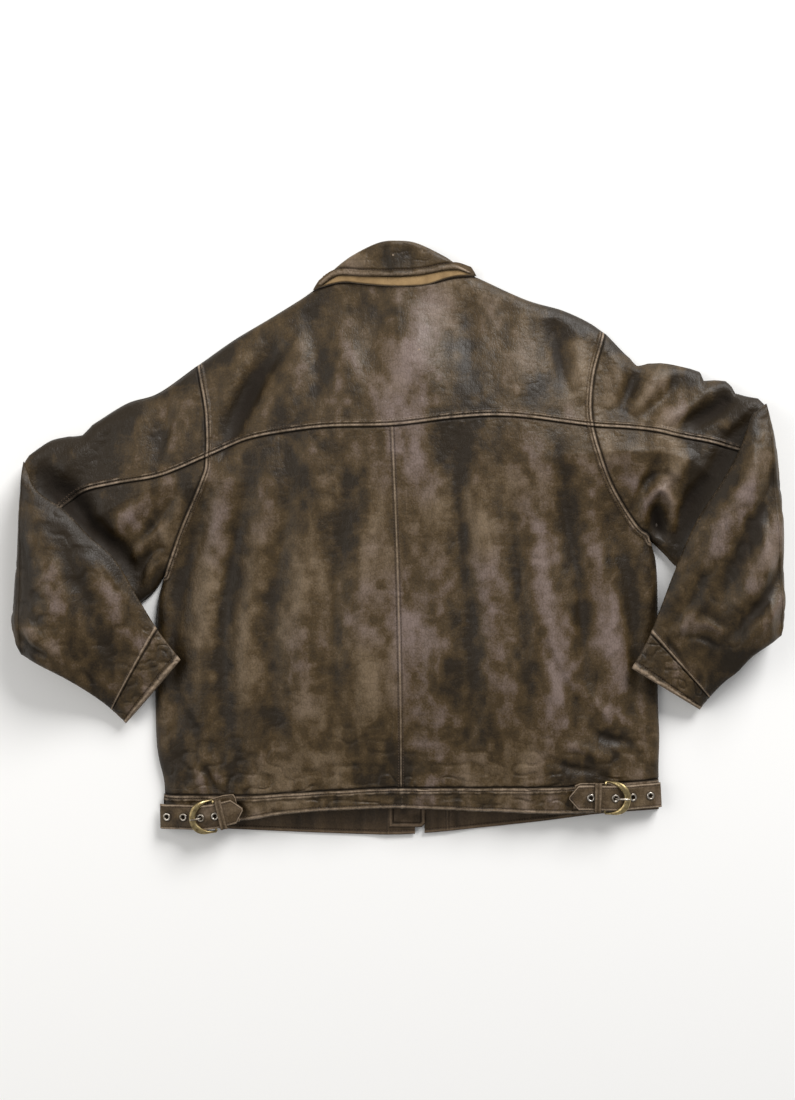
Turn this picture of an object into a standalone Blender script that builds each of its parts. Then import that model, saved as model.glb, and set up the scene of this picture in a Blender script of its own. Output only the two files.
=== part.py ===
"""A brown leather riding jacket, laid face down with both forearms folded over the upper arms.

The jacket's front rests on the plane z = 0 and its back faces up. +Y points to the collar and +X to the
wearer's right arm. The origin is at the bottom centre of the jacket's box. Every panel is a thin sheet:
a grid laid over the jacket's swelling, thickened inwards.
"""

import math

import bmesh
import bpy
import numpy as np
from mathutils import Matrix, Vector

# ---------------------------------------------------------------- driving dimensions, in metres
LEATHER = 0.0020
LINING = 0.0010
SUEDE = 0.0016
SEAM_GAP = 0.0004
LINING_GAP = 0.0010

EDGE_TOP = 0.0036
EDGE_ROUND = 0.013
EDGE_RADIUS = 0.022
BELLY = 0.030
BELLY_REACH = 0.20
HEM_SHARE = 0.35
NECK_SHARE = 0.45

ARM_EDGE = 0.0126
ARM_RISE = 0.0214
ARM_RADIUS = 0.090
ARM_START = {-1: 0.315, 1: 0.345}
ARM_END = 0.482

FOLD_Z = 0.0377
FOREARM_HALF = 0.0170
CUFF_HALF = 0.0095
CUFF_LOW_Z = 0.0120
CUFF_HIGH_Z = 0.0330

ZIP_X = 0.030
ZIP_RAISE = 0.0024
ZIP_FLAT = 0.040
ZIP_SLOPE = 0.035
ZIP_TOP_Y = 0.246
ZIP_BOTTOM_Y = -0.376
ZIP_HALF_GAP = 0.006

STRAP_HALF = 0.016
STRAP_THICK = 0.0022
HOLE_RADIUS = 0.0034
BAR_LIFT = 0.0043
BAR_RADIUS = 0.0016
FRAME_HALF = 0.0206
ARC_REACH = 0.0290
ARC_LIFT = 0.0125
PRONG_RADIUS = 0.0010
ANCHOR_THICK = 0.0014
KEEPER_THICK = 0.0013
KEEPER_HALF = 0.0042
TAPE_THICK = 0.0006
TAPE_WIDTH = 0.0150
TEETH_WIDTH = 0.0030
SLIDER_LENGTH = 0.012
SLIDER_HALF = 0.0048
PULL_LENGTH = 0.028

# ---------------------------------------------------------------- outlines and seams, (x, y)
LEFT = {
    "shoulder": [(-0.266, 0.229), (-0.218, 0.263), (-0.173, 0.290), (-0.131, 0.316), (-0.112, 0.329)],
    "armhole": [
        (-0.309, -0.047), (-0.286, 0.014), (-0.257, 0.079), (-0.252, 0.106), (-0.254, 0.166),
        (-0.266, 0.229),
    ],
    "side": [(-0.311, -0.374), (-0.309, -0.326), (-0.320, -0.261), (-0.320, -0.105), (-0.309, -0.047)],
    "sleeve_top": [
        (-0.266, 0.229), (-0.318, 0.192), (-0.361, 0.177), (-0.421, 0.139), (-0.458, 0.126),
        (-0.486, 0.101),
    ],
    "sleeve_low": [(-0.309, -0.047), (-0.333, -0.078), (-0.410, -0.125), (-0.489, -0.150)],
    "sleeve_seam": [
        (-0.252, 0.106), (-0.311, 0.082), (-0.369, 0.0715), (-0.419, 0.058), (-0.455, 0.025),
        (-0.4876, -0.015),
    ],
    "forearm_in": [
        (-0.486, 0.101), (-0.468, 0.064), (-0.430, 0.036), (-0.400, 0.004), (-0.368, -0.026),
        (-0.338, -0.078), (-0.313, -0.120), (-0.285, -0.157),
    ],
    "forearm_out": [
        (-0.489, -0.150), (-0.468, -0.161), (-0.430, -0.182), (-0.393, -0.210), (-0.360, -0.242),
    ],
    "bulge": [(0, 0.003), (0.3, 0.007), (0.6, 0.011), (0.82, 0.0145), (1, 0.010)],
    "front_neck": [(-0.112, 0.329), (-0.092, 0.288), (-0.045, 0.262), (0.024, 0.254)],
    "front_collar": [(-0.106, 0.332), (-0.085, 0.343), (-0.045, 0.352), (0.024, 0.354)],
}
RIGHT = {
    "shoulder": [(0.274, 0.272), (0.252, 0.287), (0.217, 0.303), (0.169, 0.317), (0.103, 0.347)],
    "armhole": [
        (0.334, -0.001), (0.330, 0.007), (0.314, 0.020), (0.278, 0.078), (0.256, 0.147),
        (0.257, 0.208), (0.274, 0.272),
    ],
    "side": [
        (0.348, -0.352), (0.345, -0.309), (0.346, -0.261), (0.344, -0.205), (0.343, -0.050),
        (0.334, -0.001),
    ],
    "sleeve_top": [(0.274, 0.272), (0.316, 0.236), (0.367, 0.225), (0.432, 0.205), (0.478, 0.176)],
    "sleeve_low": [(0.334, -0.001), (0.352, -0.018), (0.372, -0.038), (0.430, -0.082), (0.497, -0.126)],
    "sleeve_seam": [
        (0.256, 0.147), (0.321, 0.143), (0.372, 0.133), (0.407, 0.126), (0.440, 0.117),
        (0.4823, 0.100),
    ],
    "forearm_in": [
        (0.478, 0.176), (0.458, 0.159), (0.442, 0.117), (0.421, 0.078), (0.386, 0.022),
        (0.361, -0.038), (0.329, -0.125), (0.306, -0.168),
    ],
    "forearm_out": [(0.497, -0.126), (0.460, -0.151), (0.442, -0.173), (0.425, -0.190), (0.399, -0.224)],
    "bulge": [(0, 0.003), (0.12, 0.0100), (0.5, 0.0150), (0.85, 0.0090), (1, 0.005)],
    "front_neck": [(0.103, 0.347), (0.092, 0.300), (0.070, 0.268), (0.036, 0.255)],
    "front_collar": [(0.098, 0.349), (0.085, 0.357), (0.065, 0.358), (0.036, 0.355)],
}
YOKE_SEAM = [
    (-0.252, 0.106), (-0.194, 0.130), (-0.104, 0.144), (-0.008, 0.147), (0.079, 0.157), (0.148, 0.159),
    (0.256, 0.147),
]
CENTRE_SEAM = [(0.004, -0.326), (0.003, -0.209), (-0.001, -0.027), (-0.008, 0.147)]
NECK_SEAM = [
    (-0.112, 0.329), (-0.069, 0.338), (-0.004, 0.333), (0.042, 0.3365), (0.074, 0.3445),
    (0.103, 0.347),
]
COLLAR_TOP = [
    (-0.110, 0.332), (-0.088, 0.351), (-0.062, 0.371), (-0.027, 0.388), (-0.001, 0.391),
    (0.025, 0.388), (0.060, 0.372), (0.077, 0.361), (0.101, 0.349),
]
LEAF_EDGE = [
    (-0.104, 0.331), (-0.079, 0.3465), (-0.043, 0.345), (-0.001, 0.344), (0.034, 0.3475),
    (0.060, 0.353), (0.079, 0.354), (0.096, 0.3485),
]
BAND_TOP = [
    (-0.3095, -0.337), (-0.203, -0.337), (-0.147, -0.333), (-0.057, -0.328), (0.004, -0.326),
    (0.216, -0.325), (0.3453, -0.317),
]
BAND_BOTTOM = [
    (-0.311, -0.374), (-0.212, -0.3705), (-0.147, -0.360), (-0.057, -0.354), (0.017, -0.353),
    (0.135, -0.3575), (0.242, -0.360), (0.348, -0.352),
]
FRONT_HEM = [
    (-0.308, -0.379), (-0.224, -0.383), (-0.079, -0.389), (0.003, -0.390), (0.083, -0.384),
    (0.188, -0.373), (0.268, -0.363), (0.346, -0.357),
]
FRONT_BAND = 0.046
CUFF_START = {-1: 0.853, 1: 0.870}

ADJUSTERS = {
    "left": {
        "line": [
        (-0.3145, -0.366), (-0.283, -0.3655), (-0.259, -0.3655), (-0.240, -0.363), (-0.204, -0.354),
    ],
        "bar": (-0.2415, -0.3635),
        "holes": (-0.063, -0.041, -0.0175, 0.0015),
        "prong_hole": 2,
        "tip": 0.0385,
    },
    "right": {
        "line": [(0.3475, -0.337), (0.300, -0.3395), (0.273, -0.3393), (0.253, -0.3388), (0.2235, -0.339)],
        "bar": (0.272, -0.3395),
        "holes": (-0.060, -0.036, -0.0125, 0.0195),
        "prong_hole": 2,
        "tip": 0.0480,
    },
}


# ---------------------------------------------------------------- joint axes: a point and a way
ELBOW_AXES = {
    "left": ((-0.4875, -0.020, FOLD_Z), (-0.012, -1.0, 0.0)),
    "right": ((0.4875, 0.025, FOLD_Z), (-0.0628, 0.998, 0.0)),
}
COLLAR_AXIS = ((-0.0045, 0.338, 0.024), (0.9965, 0.0834, 0.0))


# ---------------------------------------------------------------- curves and heights
def ease(t):
    t = np.clip(t, 0.0, 1.0)
    return t * t * (3 - 2 * t)


def crown(distance, radius):
    """A quarter ellipse: 0 at the edge, 1 from radius inwards."""
    return np.sqrt(1 - (1 - np.clip(distance / radius, 0, 1)) ** 2)


class Curve:
    """A smooth curve through points, read by its share of length."""

    def __init__(self, points, steps=24):
        p = np.array(points, float)
        p = np.vstack([2 * p[0] - p[1], p, 2 * p[-1] - p[-2]])
        t = np.linspace(0, 1, steps, endpoint=False)[:, None]
        spans = []
        for a, b, c, d in zip(p[:-3], p[1:-2], p[2:-1], p[3:], strict=True):
            curl = (2 * a - 5 * b + 4 * c - d) * t**2 + (3 * b - a - 3 * c + d) * t**3
            spans.append(0.5 * (2 * b + (c - a) * t + curl))
        self.points = np.vstack([*spans, p[-2:-1]])
        step = np.linalg.norm(np.diff(self.points, axis=0), axis=1)
        self.along = np.concatenate([[0], np.cumsum(step)])
        self.length = self.along[-1]

    def __call__(self, share):
        s = np.asarray(share, float) * self.length
        axes = range(self.points.shape[1])
        return np.stack([np.interp(s, self.along, self.points[:, k]) for k in axes], -1)

    def share_at(self, point):
        """The share of length nearest to a point."""
        nearest = np.argmin(np.linalg.norm(self.points - np.array(point), axis=1))
        return self.along[nearest] / self.length

    def part(self, start, end, count=60):
        piece = Curve.__new__(Curve)
        piece.points = self(np.linspace(start, end, count))
        piece.along = np.concatenate([[0], np.cumsum(np.linalg.norm(np.diff(piece.points, axis=0), axis=1))])
        piece.length = piece.along[-1]
        return piece

    def back(self):
        return self.part(1, 0)


def joined(*curves):
    whole = Curve.__new__(Curve)
    whole.points = np.vstack([curves[0].points, *[c.points[1:] for c in curves[1:]]])
    whole.along = np.concatenate([[0], np.cumsum(np.linalg.norm(np.diff(whole.points, axis=0), axis=1))])
    whole.length = whole.along[-1]
    return whole


def named(name):
    sides = {-1: LEFT, 1: RIGHT}
    return {side: Curve(table[name]) for side, table in sides.items()}


SHOULDER = named("shoulder")
ARMHOLE = named("armhole")
SIDE = named("side")
SLEEVE_TOP = named("sleeve_top")
SLEEVE_LOW = named("sleeve_low")
SLEEVE_SEAM = named("sleeve_seam")
FOREARM_IN = named("forearm_in")
FOREARM_OUT = named("forearm_out")
BULGE = named("bulge")
FRONT_NECK = named("front_neck")
FRONT_COLLAR = named("front_collar")
NAMES = {-1: "left", 1: "right"}


def distance_to(points, curves, samples=40):
    """The shortest way from each point to any of the curves."""
    flat = points.reshape(-1, 2)
    best = np.full(len(flat), 9.0)
    for curve in curves:
        line = curve(np.linspace(0, 1, samples))
        a, run = line[:-1], np.diff(line, axis=0)
        rel = flat[:, None, :] - a[None]
        share = np.clip((rel * run).sum(-1) / (run**2).sum(-1), 0, 1)
        gap = np.linalg.norm(rel - share[..., None] * run[None], axis=-1)
        best = np.minimum(best, gap.min(axis=1))
    return best.reshape(points.shape[:-1])


EDGES = [c[side] for c in (SHOULDER, SIDE, SLEEVE_TOP, SLEEVE_LOW) for side in (-1, 1)]


def arm_share(points):
    """0 on the body, 1 at the elbow."""
    x = points[..., 0]
    start = np.where(x < 0, ARM_START[-1], ARM_START[1])
    return ease((np.abs(x) - start) / (ARM_END - start)) * (points[..., 1] > -0.20)


def belly_share(points):
    y = points[..., 1]
    hem = HEM_SHARE + (1 - HEM_SHARE) * ease((y + 0.37) / 0.22)
    neck = 1 - (1 - NECK_SHARE) * ease((y - 0.22) / 0.11)
    return hem * neck


def back_height(points):
    """The outside of the jacket's upper layer."""
    d, arm = distance_to(points, EDGES), arm_share(points)
    body = EDGE_ROUND * crown(d, EDGE_RADIUS) + BELLY * ease(d / BELLY_REACH) * belly_share(points)
    return EDGE_TOP + ARM_EDGE * arm + (1 - arm) * body + arm * ARM_RISE * crown(d, ARM_RADIUS)


def front_height(points):
    """The outside of the jacket's lower layer: flat, raised by the zip and at the elbows' edges."""
    d, arm = distance_to(points, EDGES), arm_share(points)
    zip_share = 1 - ease((np.abs(points[..., 0] - ZIP_X) - ZIP_FLAT) / ZIP_SLOPE)
    return ZIP_RAISE * zip_share + ARM_EDGE * arm * (1 - crown(d, EDGE_RADIUS + 0.03 * arm))


# ---------------------------------------------------------------- objects
def clear_scene():
    for obj in list(bpy.data.objects):
        bpy.data.objects.remove(obj, do_unlink=True)


def collection(name):
    made = bpy.data.collections.new(name)
    bpy.context.scene.collection.children.link(made)
    return made


def material(name, colour, roughness, metallic=0.0):
    made = bpy.data.materials.new(name)
    made.use_nodes = True
    shader = made.node_tree.nodes["Principled BSDF"]
    shader.inputs["Base Color"].default_value = (*colour, 1)
    shader.inputs["Roughness"].default_value = roughness
    shader.inputs["Metallic"].default_value = metallic
    return made


def place(name, mesh, finish):
    obj = bpy.data.objects.new(name, mesh)
    obj.data.materials.append(finish)
    PARTS.objects.link(obj)
    return obj


def grid_mesh(name, points, closed=False):
    """A grid laid on an array of points (rows, columns, 3); closed joins its first and last rows."""
    rows, columns = points.shape[:2]
    bm = bmesh.new()
    bmesh.ops.create_grid(bm, x_segments=rows - 1, y_segments=columns - 1, size=0.5)
    for vertex in bm.verts:
        row = round((vertex.co.x + 0.5) * (rows - 1))
        column = round((vertex.co.y + 0.5) * (columns - 1))
        vertex.co = points[row, column]
    if closed:
        bmesh.ops.remove_doubles(bm, verts=bm.verts, dist=1e-6)
    mesh = bpy.data.meshes.new(name)
    bm.to_mesh(mesh)
    bm.free()
    mesh.shade_smooth()
    return mesh


def sheet(name, points, thickness, finish, closed=False, flip=False):
    """A sheet with its outside on the points; it thickens away from the grid's normals."""
    if flip:
        points = points[:, ::-1]
    obj = place(name, grid_mesh(name, points, closed), finish)
    shell = obj.modifiers.new("Thickness", "SOLIDIFY")
    shell.thickness = thickness
    shell.offset = -1
    return obj


def spread(count, start=False, end=False):
    """Shares from 0 to 1, crowded towards the ends that are marked."""
    t = np.linspace(0, 1, count)
    if start and end:
        return (1 - np.cos(np.pi * t)) / 2
    if start:
        return 1 - np.cos(np.pi * t / 2)
    if end:
        return np.sin(np.pi * t / 2)
    return t


def patch(bottom, top, left, right, u, v):
    """A Coons patch between four curves: bottom and top run along u, left and right along v."""
    u2, v2 = u[:, None, None], v[None, :, None]
    across = (1 - v2) * bottom(u)[:, None] + v2 * top(u)[:, None]
    along = (1 - u2) * left(v)[None] + u2 * right(v)[None]
    corners = (1 - u2) * ((1 - v2) * bottom(0) + v2 * top(0)) + u2 * ((1 - v2) * bottom(1) + v2 * top(1))
    return across + along - corners


def inset(points, low=0.0, high=0.0, first=0.0, last=0.0):
    """Draws a patch's rim inwards: low and high at the ends of v, first and last at the ends of u."""
    out = points.copy()

    def pull(rim, inner, amount):
        run = np.gradient(rim, axis=0)
        run = run / np.linalg.norm(run, axis=-1, keepdims=True)
        way = inner - rim
        way = way - (way * run).sum(-1, keepdims=True) * run
        return rim + way / np.linalg.norm(way, axis=-1, keepdims=True) * amount

    if low:
        out[:, 0] = pull(points[:, 0], points[:, 1], low)
    if high:
        out[:, -1] = pull(points[:, -1], points[:, -2], high)
    if first:
        out[0] = pull(out[0], out[1], first)
    if last:
        out[-1] = pull(out[-1], out[-2], last)
    return out


def lifted(plan, height):
    return np.concatenate([plan, height[..., None]], axis=-1)


# ---------------------------------------------------------------- body
def yoke():
    seam = Curve(YOKE_SEAM)
    neck = Curve(NECK_SEAM)
    top = joined(SHOULDER[-1], neck, SHOULDER[1].back())
    left = ARMHOLE[-1].part(ARMHOLE[-1].share_at((-0.252, 0.106)), 1)
    right = ARMHOLE[1].part(ARMHOLE[1].share_at((0.256, 0.147)), 1)
    neck_in = SHOULDER[-1].length / top.length
    neck_out = 1 - SHOULDER[1].length / top.length
    across_neck = np.linspace(neck_in, neck_out, 8)[1:-1]
    u = np.concatenate([np.linspace(0, neck_in, 6), across_neck, np.linspace(neck_out, 1, 6)])
    plan = patch(seam, top, left, right, u, spread(8, end=True))
    plan = inset(plan, low=SEAM_GAP, first=SEAM_GAP, last=SEAM_GAP)
    plan[5:14, -1, 1] -= SEAM_GAP
    sheet("back_yoke", lifted(plan, back_height(plan)), LEATHER, BROWN)


def back_panels():
    band = Curve(BAND_TOP)
    seam = Curve(YOKE_SEAM)
    centre = Curve(CENTRE_SEAM)
    middle_band = band.share_at(CENTRE_SEAM[0])
    middle_seam = seam.share_at(CENTRE_SEAM[-1])
    for side in (-1, 1):
        side_start = SIDE[side].share_at(BAND_TOP[0] if side < 0 else BAND_TOP[-1])
        arm_end = ARMHOLE[side].share_at(YOKE_SEAM[0] if side < 0 else YOKE_SEAM[-1])
        low, high = SIDE[side].part(side_start, 1), ARMHOLE[side].part(0, arm_end)
        outer = joined(low, high)
        armpit = low.length / outer.length
        v = np.concatenate([np.linspace(0, armpit, 9), armpit + (1 - armpit) * spread(7, start=True)[1:]])
        if side < 0:
            bottom, top = band.part(0, middle_band), seam.part(0, middle_seam)
        else:
            bottom, top = band.part(1, middle_band), seam.part(1, middle_seam)
        plan = patch(bottom, top, outer, centre, spread(9, start=True), v)
        plan = inset(plan, low=SEAM_GAP, high=SEAM_GAP, last=SEAM_GAP)
        plan[0, 9:] = inset(plan, first=2 * SEAM_GAP)[0, 9:]
        sheet(f"back_panel_{NAMES[side]}", lifted(plan, back_height(plan)), LEATHER, BROWN, flip=side > 0)


def back_band():
    plan = patch(Curve(BAND_BOTTOM), Curve(BAND_TOP), Curve([BAND_BOTTOM[0], BAND_TOP[0]]),
                 Curve([BAND_BOTTOM[-1], BAND_TOP[-1]]), spread(19, True, True), spread(3))
    plan = inset(plan, high=SEAM_GAP)
    sheet("back_hem_band", lifted(plan, back_height(plan)), LEATHER, BROWN)


def front_panels():
    hem = Curve(FRONT_HEM)
    for side in (-1, 1):
        zip_x = ZIP_X + side * ZIP_HALF_GAP
        end = hem.share_at((zip_x, -0.388))
        low = hem.part(0 if side < 0 else 1, end)
        top_of_band = Curve(low(np.linspace(0, 1, 6)) + (0, FRONT_BAND))
        start = SIDE[side].share_at(top_of_band(0))
        bottom = Curve(np.vstack([SIDE[side](start), top_of_band(np.linspace(0.15, 1, 5))]))
        outer = joined(SIDE[side].part(start, 1), ARMHOLE[side])
        armpit = SIDE[side].length * (1 - start) / outer.length
        inner = Curve([bottom(1), FRONT_NECK[side](1)])
        top = joined(SHOULDER[side], FRONT_NECK[side])
        corner = SHOULDER[side].length / top.length
        u = np.concatenate([np.linspace(0, corner, 5), np.linspace(corner, 1, 6)[1:]])
        v = np.concatenate([np.linspace(0, armpit, 6), armpit + (1 - armpit) * spread(9, True, True)[1:]])
        plan = patch(bottom, top, outer, inner, u, v)
        plan = inset(plan, low=SEAM_GAP, high=SEAM_GAP)
        plan[0, 6:] = inset(plan, first=2 * SEAM_GAP)[0, 6:]
        sheet(f"front_panel_{NAMES[side]}", lifted(plan, front_height(plan)), LEATHER, BROWN, flip=side < 0)
        outer_end, zip_end = Curve([low(0), bottom(0)]), Curve([low(1), bottom(1)])
        band = patch(low, bottom, outer_end, zip_end, np.linspace(0, 1, 8), spread(3))
        band = inset(band, high=SEAM_GAP)
        name = f"front_hem_band_{NAMES[side]}"
        sheet(name, lifted(band, front_height(band)), LEATHER, BROWN, flip=side < 0)


def body_linings():
    """Lining sheets, held off the leather and clear of the seams."""
    band, neck = Curve(BAND_TOP), Curve(NECK_SEAM)
    rims = {}
    for side in (-1, 1):
        start = SIDE[side].share_at(BAND_TOP[0] if side < 0 else BAND_TOP[-1])
        outer = joined(SIDE[side].part(start, 1), ARMHOLE[side])(np.linspace(0, 1, 16))
        rims[side] = Curve(outer - (side * 0.016, 0))
    low = [rims[-1](0), *band(np.linspace(0.1, 0.9, 9)), rims[1](0)]
    bottom = Curve(np.vstack(low) + (0, 0.006))
    shoulder = [SHOULDER[-1](t) + (0.012, -0.018) for t in (0.05, 0.4, 0.8)]
    shoulder_right = [SHOULDER[1](t) + (-0.012, -0.018) for t in (0.8, 0.4, 0.05)]
    top = Curve([*shoulder, *(neck(np.linspace(0.15, 0.85, 5)) - (0, 0.016)), *shoulder_right])
    left = Curve(np.vstack([bottom(0), rims[-1](np.linspace(0.1, 0.9, 9)), top(0)]))
    right = Curve(np.vstack([bottom(1), rims[1](np.linspace(0.1, 0.9, 9)), top(1)]))
    plan = patch(bottom, top, left, right, spread(13, True, True), np.linspace(0, 1, 12))
    height = back_height(plan) - LEATHER - 3 * LINING_GAP
    sheet("back_lining", lifted(plan, height), LINING, LINING_CLOTH)
    for side in (-1, 1):
        facing = -0.017 if side < 0 else 0.0475
        edge = Curve([(facing, -0.335), (facing, 0.236)])
        outer = Curve(rims[side](np.linspace(0.02, 0.93, 12)))
        low = Curve([outer(0), edge(0)])
        shoulder = SHOULDER[side](0.5) - (side * 0.006, 0.026)
        neck_side = FRONT_NECK[side](0.25) - (side * 0.014, 0.020)
        neck_low = Curve([outer(1), shoulder, neck_side, edge(1)])
        plan = patch(low, neck_low, outer, edge, np.linspace(0, 1, 8), np.linspace(0, 1, 10))
        height = front_height(plan) + LEATHER + LINING_GAP
        sheet(f"front_lining_{NAMES[side]}", lifted(plan, height), LINING, LINING_CLOTH, flip=side < 0)


# ---------------------------------------------------------------- sleeves
def upper_sleeve(side):
    """The upper arm: the under sleeve below the back seam, and the top sleeve over the edge and under."""
    hole, low, top = ARMHOLE[side], SLEEVE_LOW[side], SLEEVE_TOP[side]
    fold = Curve([low(1), top(1)])
    seam = SLEEVE_SEAM[side]
    hole_seam, fold_seam = hole.share_at(seam(0)), fold.share_at(seam(1))
    along = np.linspace(0, 1, 8)
    under = patch(low, seam, hole.part(0, hole_seam), fold.part(0, fold_seam), along, spread(7, start=True))
    over = patch(seam, top, hole.part(hole_seam, 1), fold.part(fold_seam, 1), along, spread(8, end=True))
    front = patch(top, low, hole.back(), fold.back(), along, spread(9, True, True))
    under = inset(under, high=SEAM_GAP, first=SEAM_GAP, last=SEAM_GAP)
    over = inset(over, low=SEAM_GAP, first=SEAM_GAP, last=SEAM_GAP)
    front = inset(front, first=SEAM_GAP, last=SEAM_GAP)
    back = lifted(over, back_height(over))
    below = lifted(front, front_height(front))
    ring = np.concatenate([back, below], axis=1)
    name = NAMES[side]
    sheet(f"{name}_under_sleeve_upper", lifted(under, back_height(under)), LEATHER, BROWN, flip=side < 0)
    sheet(f"{name}_top_sleeve_upper", ring, LEATHER, BROWN, flip=side < 0)
    cut_back = 0.03 + along * 0.94
    ring = lining_ring(low, top, hole, fold, cut_back)
    sheet(f"{name}_sleeve_lining_upper", ring, LINING, LINING_CLOTH, closed=True, flip=side > 0)


def drawn_in(plan, rim):
    """A patch narrowed by rim at both ends of its second direction."""
    way = plan[:, -1:] - plan[:, :1]
    share = rim / np.linalg.norm(way, axis=-1, keepdims=True)
    return plan[:, :1] + (plan - plan[:, :1]) * (1 - 2 * share) + way * share


def lining_ring(bottom, top, left, right, along):
    """A flat tube of lining inside the upper arm."""
    plan = drawn_in(patch(bottom, top, left, right, along, spread(10, True, True)), 0.010)
    keep = LEATHER + 5 * LINING_GAP
    upper = back_height(plan) - keep
    lower = front_height(plan) + keep
    middle = (upper + lower) / 2
    closing = np.array([0.0, 0.5, *[1.0] * 6, 0.5, 0.0])
    upper = middle + (upper - middle) * closing
    lower = middle + (lower - middle) * closing
    ring = np.concatenate([lifted(plan, upper), lifted(plan, lower)[:, ::-1][:, 1:]], axis=1)
    return np.transpose(ring, (1, 0, 2))


class Forearm:
    """The folded forearm as a flat tube: s runs from the fold to the cuff's end, c from the outer
    edge to the inner one."""

    def __init__(self, side):
        self.side = side
        self.inner, self.outer = FOREARM_IN[side], FOREARM_OUT[side]
        self.edges = [self.inner, self.outer]
        self.fold = Curve([self.outer(0), self.inner(0)])
        self.cuff = Curve([self.outer(1), self.inner(1)])

    def plan(self, s, c):
        return patch(self.outer, self.inner, self.fold, self.cuff, s, c)

    def middle(self, s, c):
        """Height of the tube's middle: level over the upper arm, then sinking to the cuff."""
        high = FOLD_Z + 0.0011 + FOREARM_HALF
        low = CUFF_LOW_Z + (CUFF_HIGH_Z - CUFF_LOW_Z) * c[None, :]
        drop = ease((s[:, None] - 0.22) / 0.78) * (1.0 - 0.25 * c[None, :] * (1 - s[:, None]))
        return high + (low - high) * drop

    def half(self, s, plan):
        thick = FOREARM_HALF + (CUFF_HALF - FOREARM_HALF) * ease(s / 0.8)
        return thick[:, None] * crown(distance_to(plan, self.edges), 0.055)

    def layer(self, s, c, sign):
        plan = self.plan(s, c)
        apart = 0.0008 + 0.0014 * (1 - ease(c / 0.12))[None, :]
        return lifted(plan, self.middle(s, c) + sign * (apart + self.half(s, plan)))


def forearm(side):
    arm = Forearm(side)
    name = NAMES[side]
    cuff = CUFF_START[side]
    gap = 2 * SEAM_GAP / arm.inner.length
    s = np.linspace(gap, cuff - gap, 11)
    wide, split = spread(13, True, True), 0.55
    top = arm.layer(s, wide, 1)
    part = 1 - spread(6, start=True) * (1 - split)
    bottom_over = arm.layer(s, part, -1)
    bottom_over[:, -1] = bottom_over[:, -1] + (bottom_over[:, -2] - bottom_over[:, -1]) * 0.01
    ring = np.concatenate([top, bottom_over], axis=1)
    bottom_under = arm.layer(s, spread(6, start=True) * split, -1)
    bottom_under[:, -1] = bottom_under[:, -1] + (bottom_under[:, -2] - bottom_under[:, -1]) * 0.01
    sheet(f"{name}_top_sleeve_forearm", ring, LEATHER, BROWN, flip=side > 0)
    sheet(f"{name}_under_sleeve_forearm", bottom_under, LEATHER, BROWN, flip=side < 0)
    cuff_ring(arm, name, cuff + gap)
    forearm_lining(arm, name, cuff - 0.01)
    elbow(side, arm)


def cuff_ring(arm, name, start):
    s = np.linspace(start, 1, 4)
    wide = spread(11, True, True)
    ring = np.concatenate([arm.layer(s, wide, 1), arm.layer(s, wide[::-1], -1)], axis=1)
    ring = np.concatenate([ring, ring[:, :1]], axis=1)
    sheet(f"{name}_cuff", np.transpose(ring, (1, 0, 2)), LEATHER, BROWN, closed=True, flip=arm.side < 0)


def forearm_lining(arm, name, end):
    s = np.linspace(0.03, end, 8)
    across = spread(8, True, True)
    plan = arm.plan(s, across)
    keep = LEATHER + LINING_GAP
    plan = drawn_in(plan, 0.012)
    thick = np.maximum(arm.half(s, plan) - keep, 0.0008) * np.array([0, 0.6, 1, 1, 1, 1, 0.6, 0])
    middle = arm.middle(s, across)
    lower = lifted(plan, middle - thick)[:, ::-1]
    ring = np.concatenate([lifted(plan, middle + thick), lower[:, 1:]], axis=1)
    ring = np.transpose(ring, (1, 0, 2))
    sheet(f"{name}_sleeve_lining_forearm", ring, LINING, LINING_CLOTH, closed=True, flip=arm.side < 0)


def elbow(side, arm):
    """The leather that turns round the fold, from the lower layer of the upper arm up to the forearm."""
    t = spread(11, True, True)
    line = arm.fold(1 - t)
    low = front_height(line)
    high = arm.layer(np.array([0.0]), 1 - t, 1)[0, :, 2]
    reach = np.array([BULGE[side](share)[1] for share in t])
    angle = np.linspace(0, math.pi, 9)
    mid, rise = (low + high) / 2, (high - low) / 2
    points = np.empty((len(angle), len(t), 3))
    for row, turn in enumerate(angle):
        points[row, :, 0] = line[:, 0] + side * (0.0032 + reach * math.sin(turn))
        points[row, :, 1] = line[:, 1]
        points[row, :, 2] = mid - rise * math.cos(turn)
    sheet(f"{NAMES[side]}_elbow", points, LEATHER, BROWN, flip=side < 0)


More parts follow.
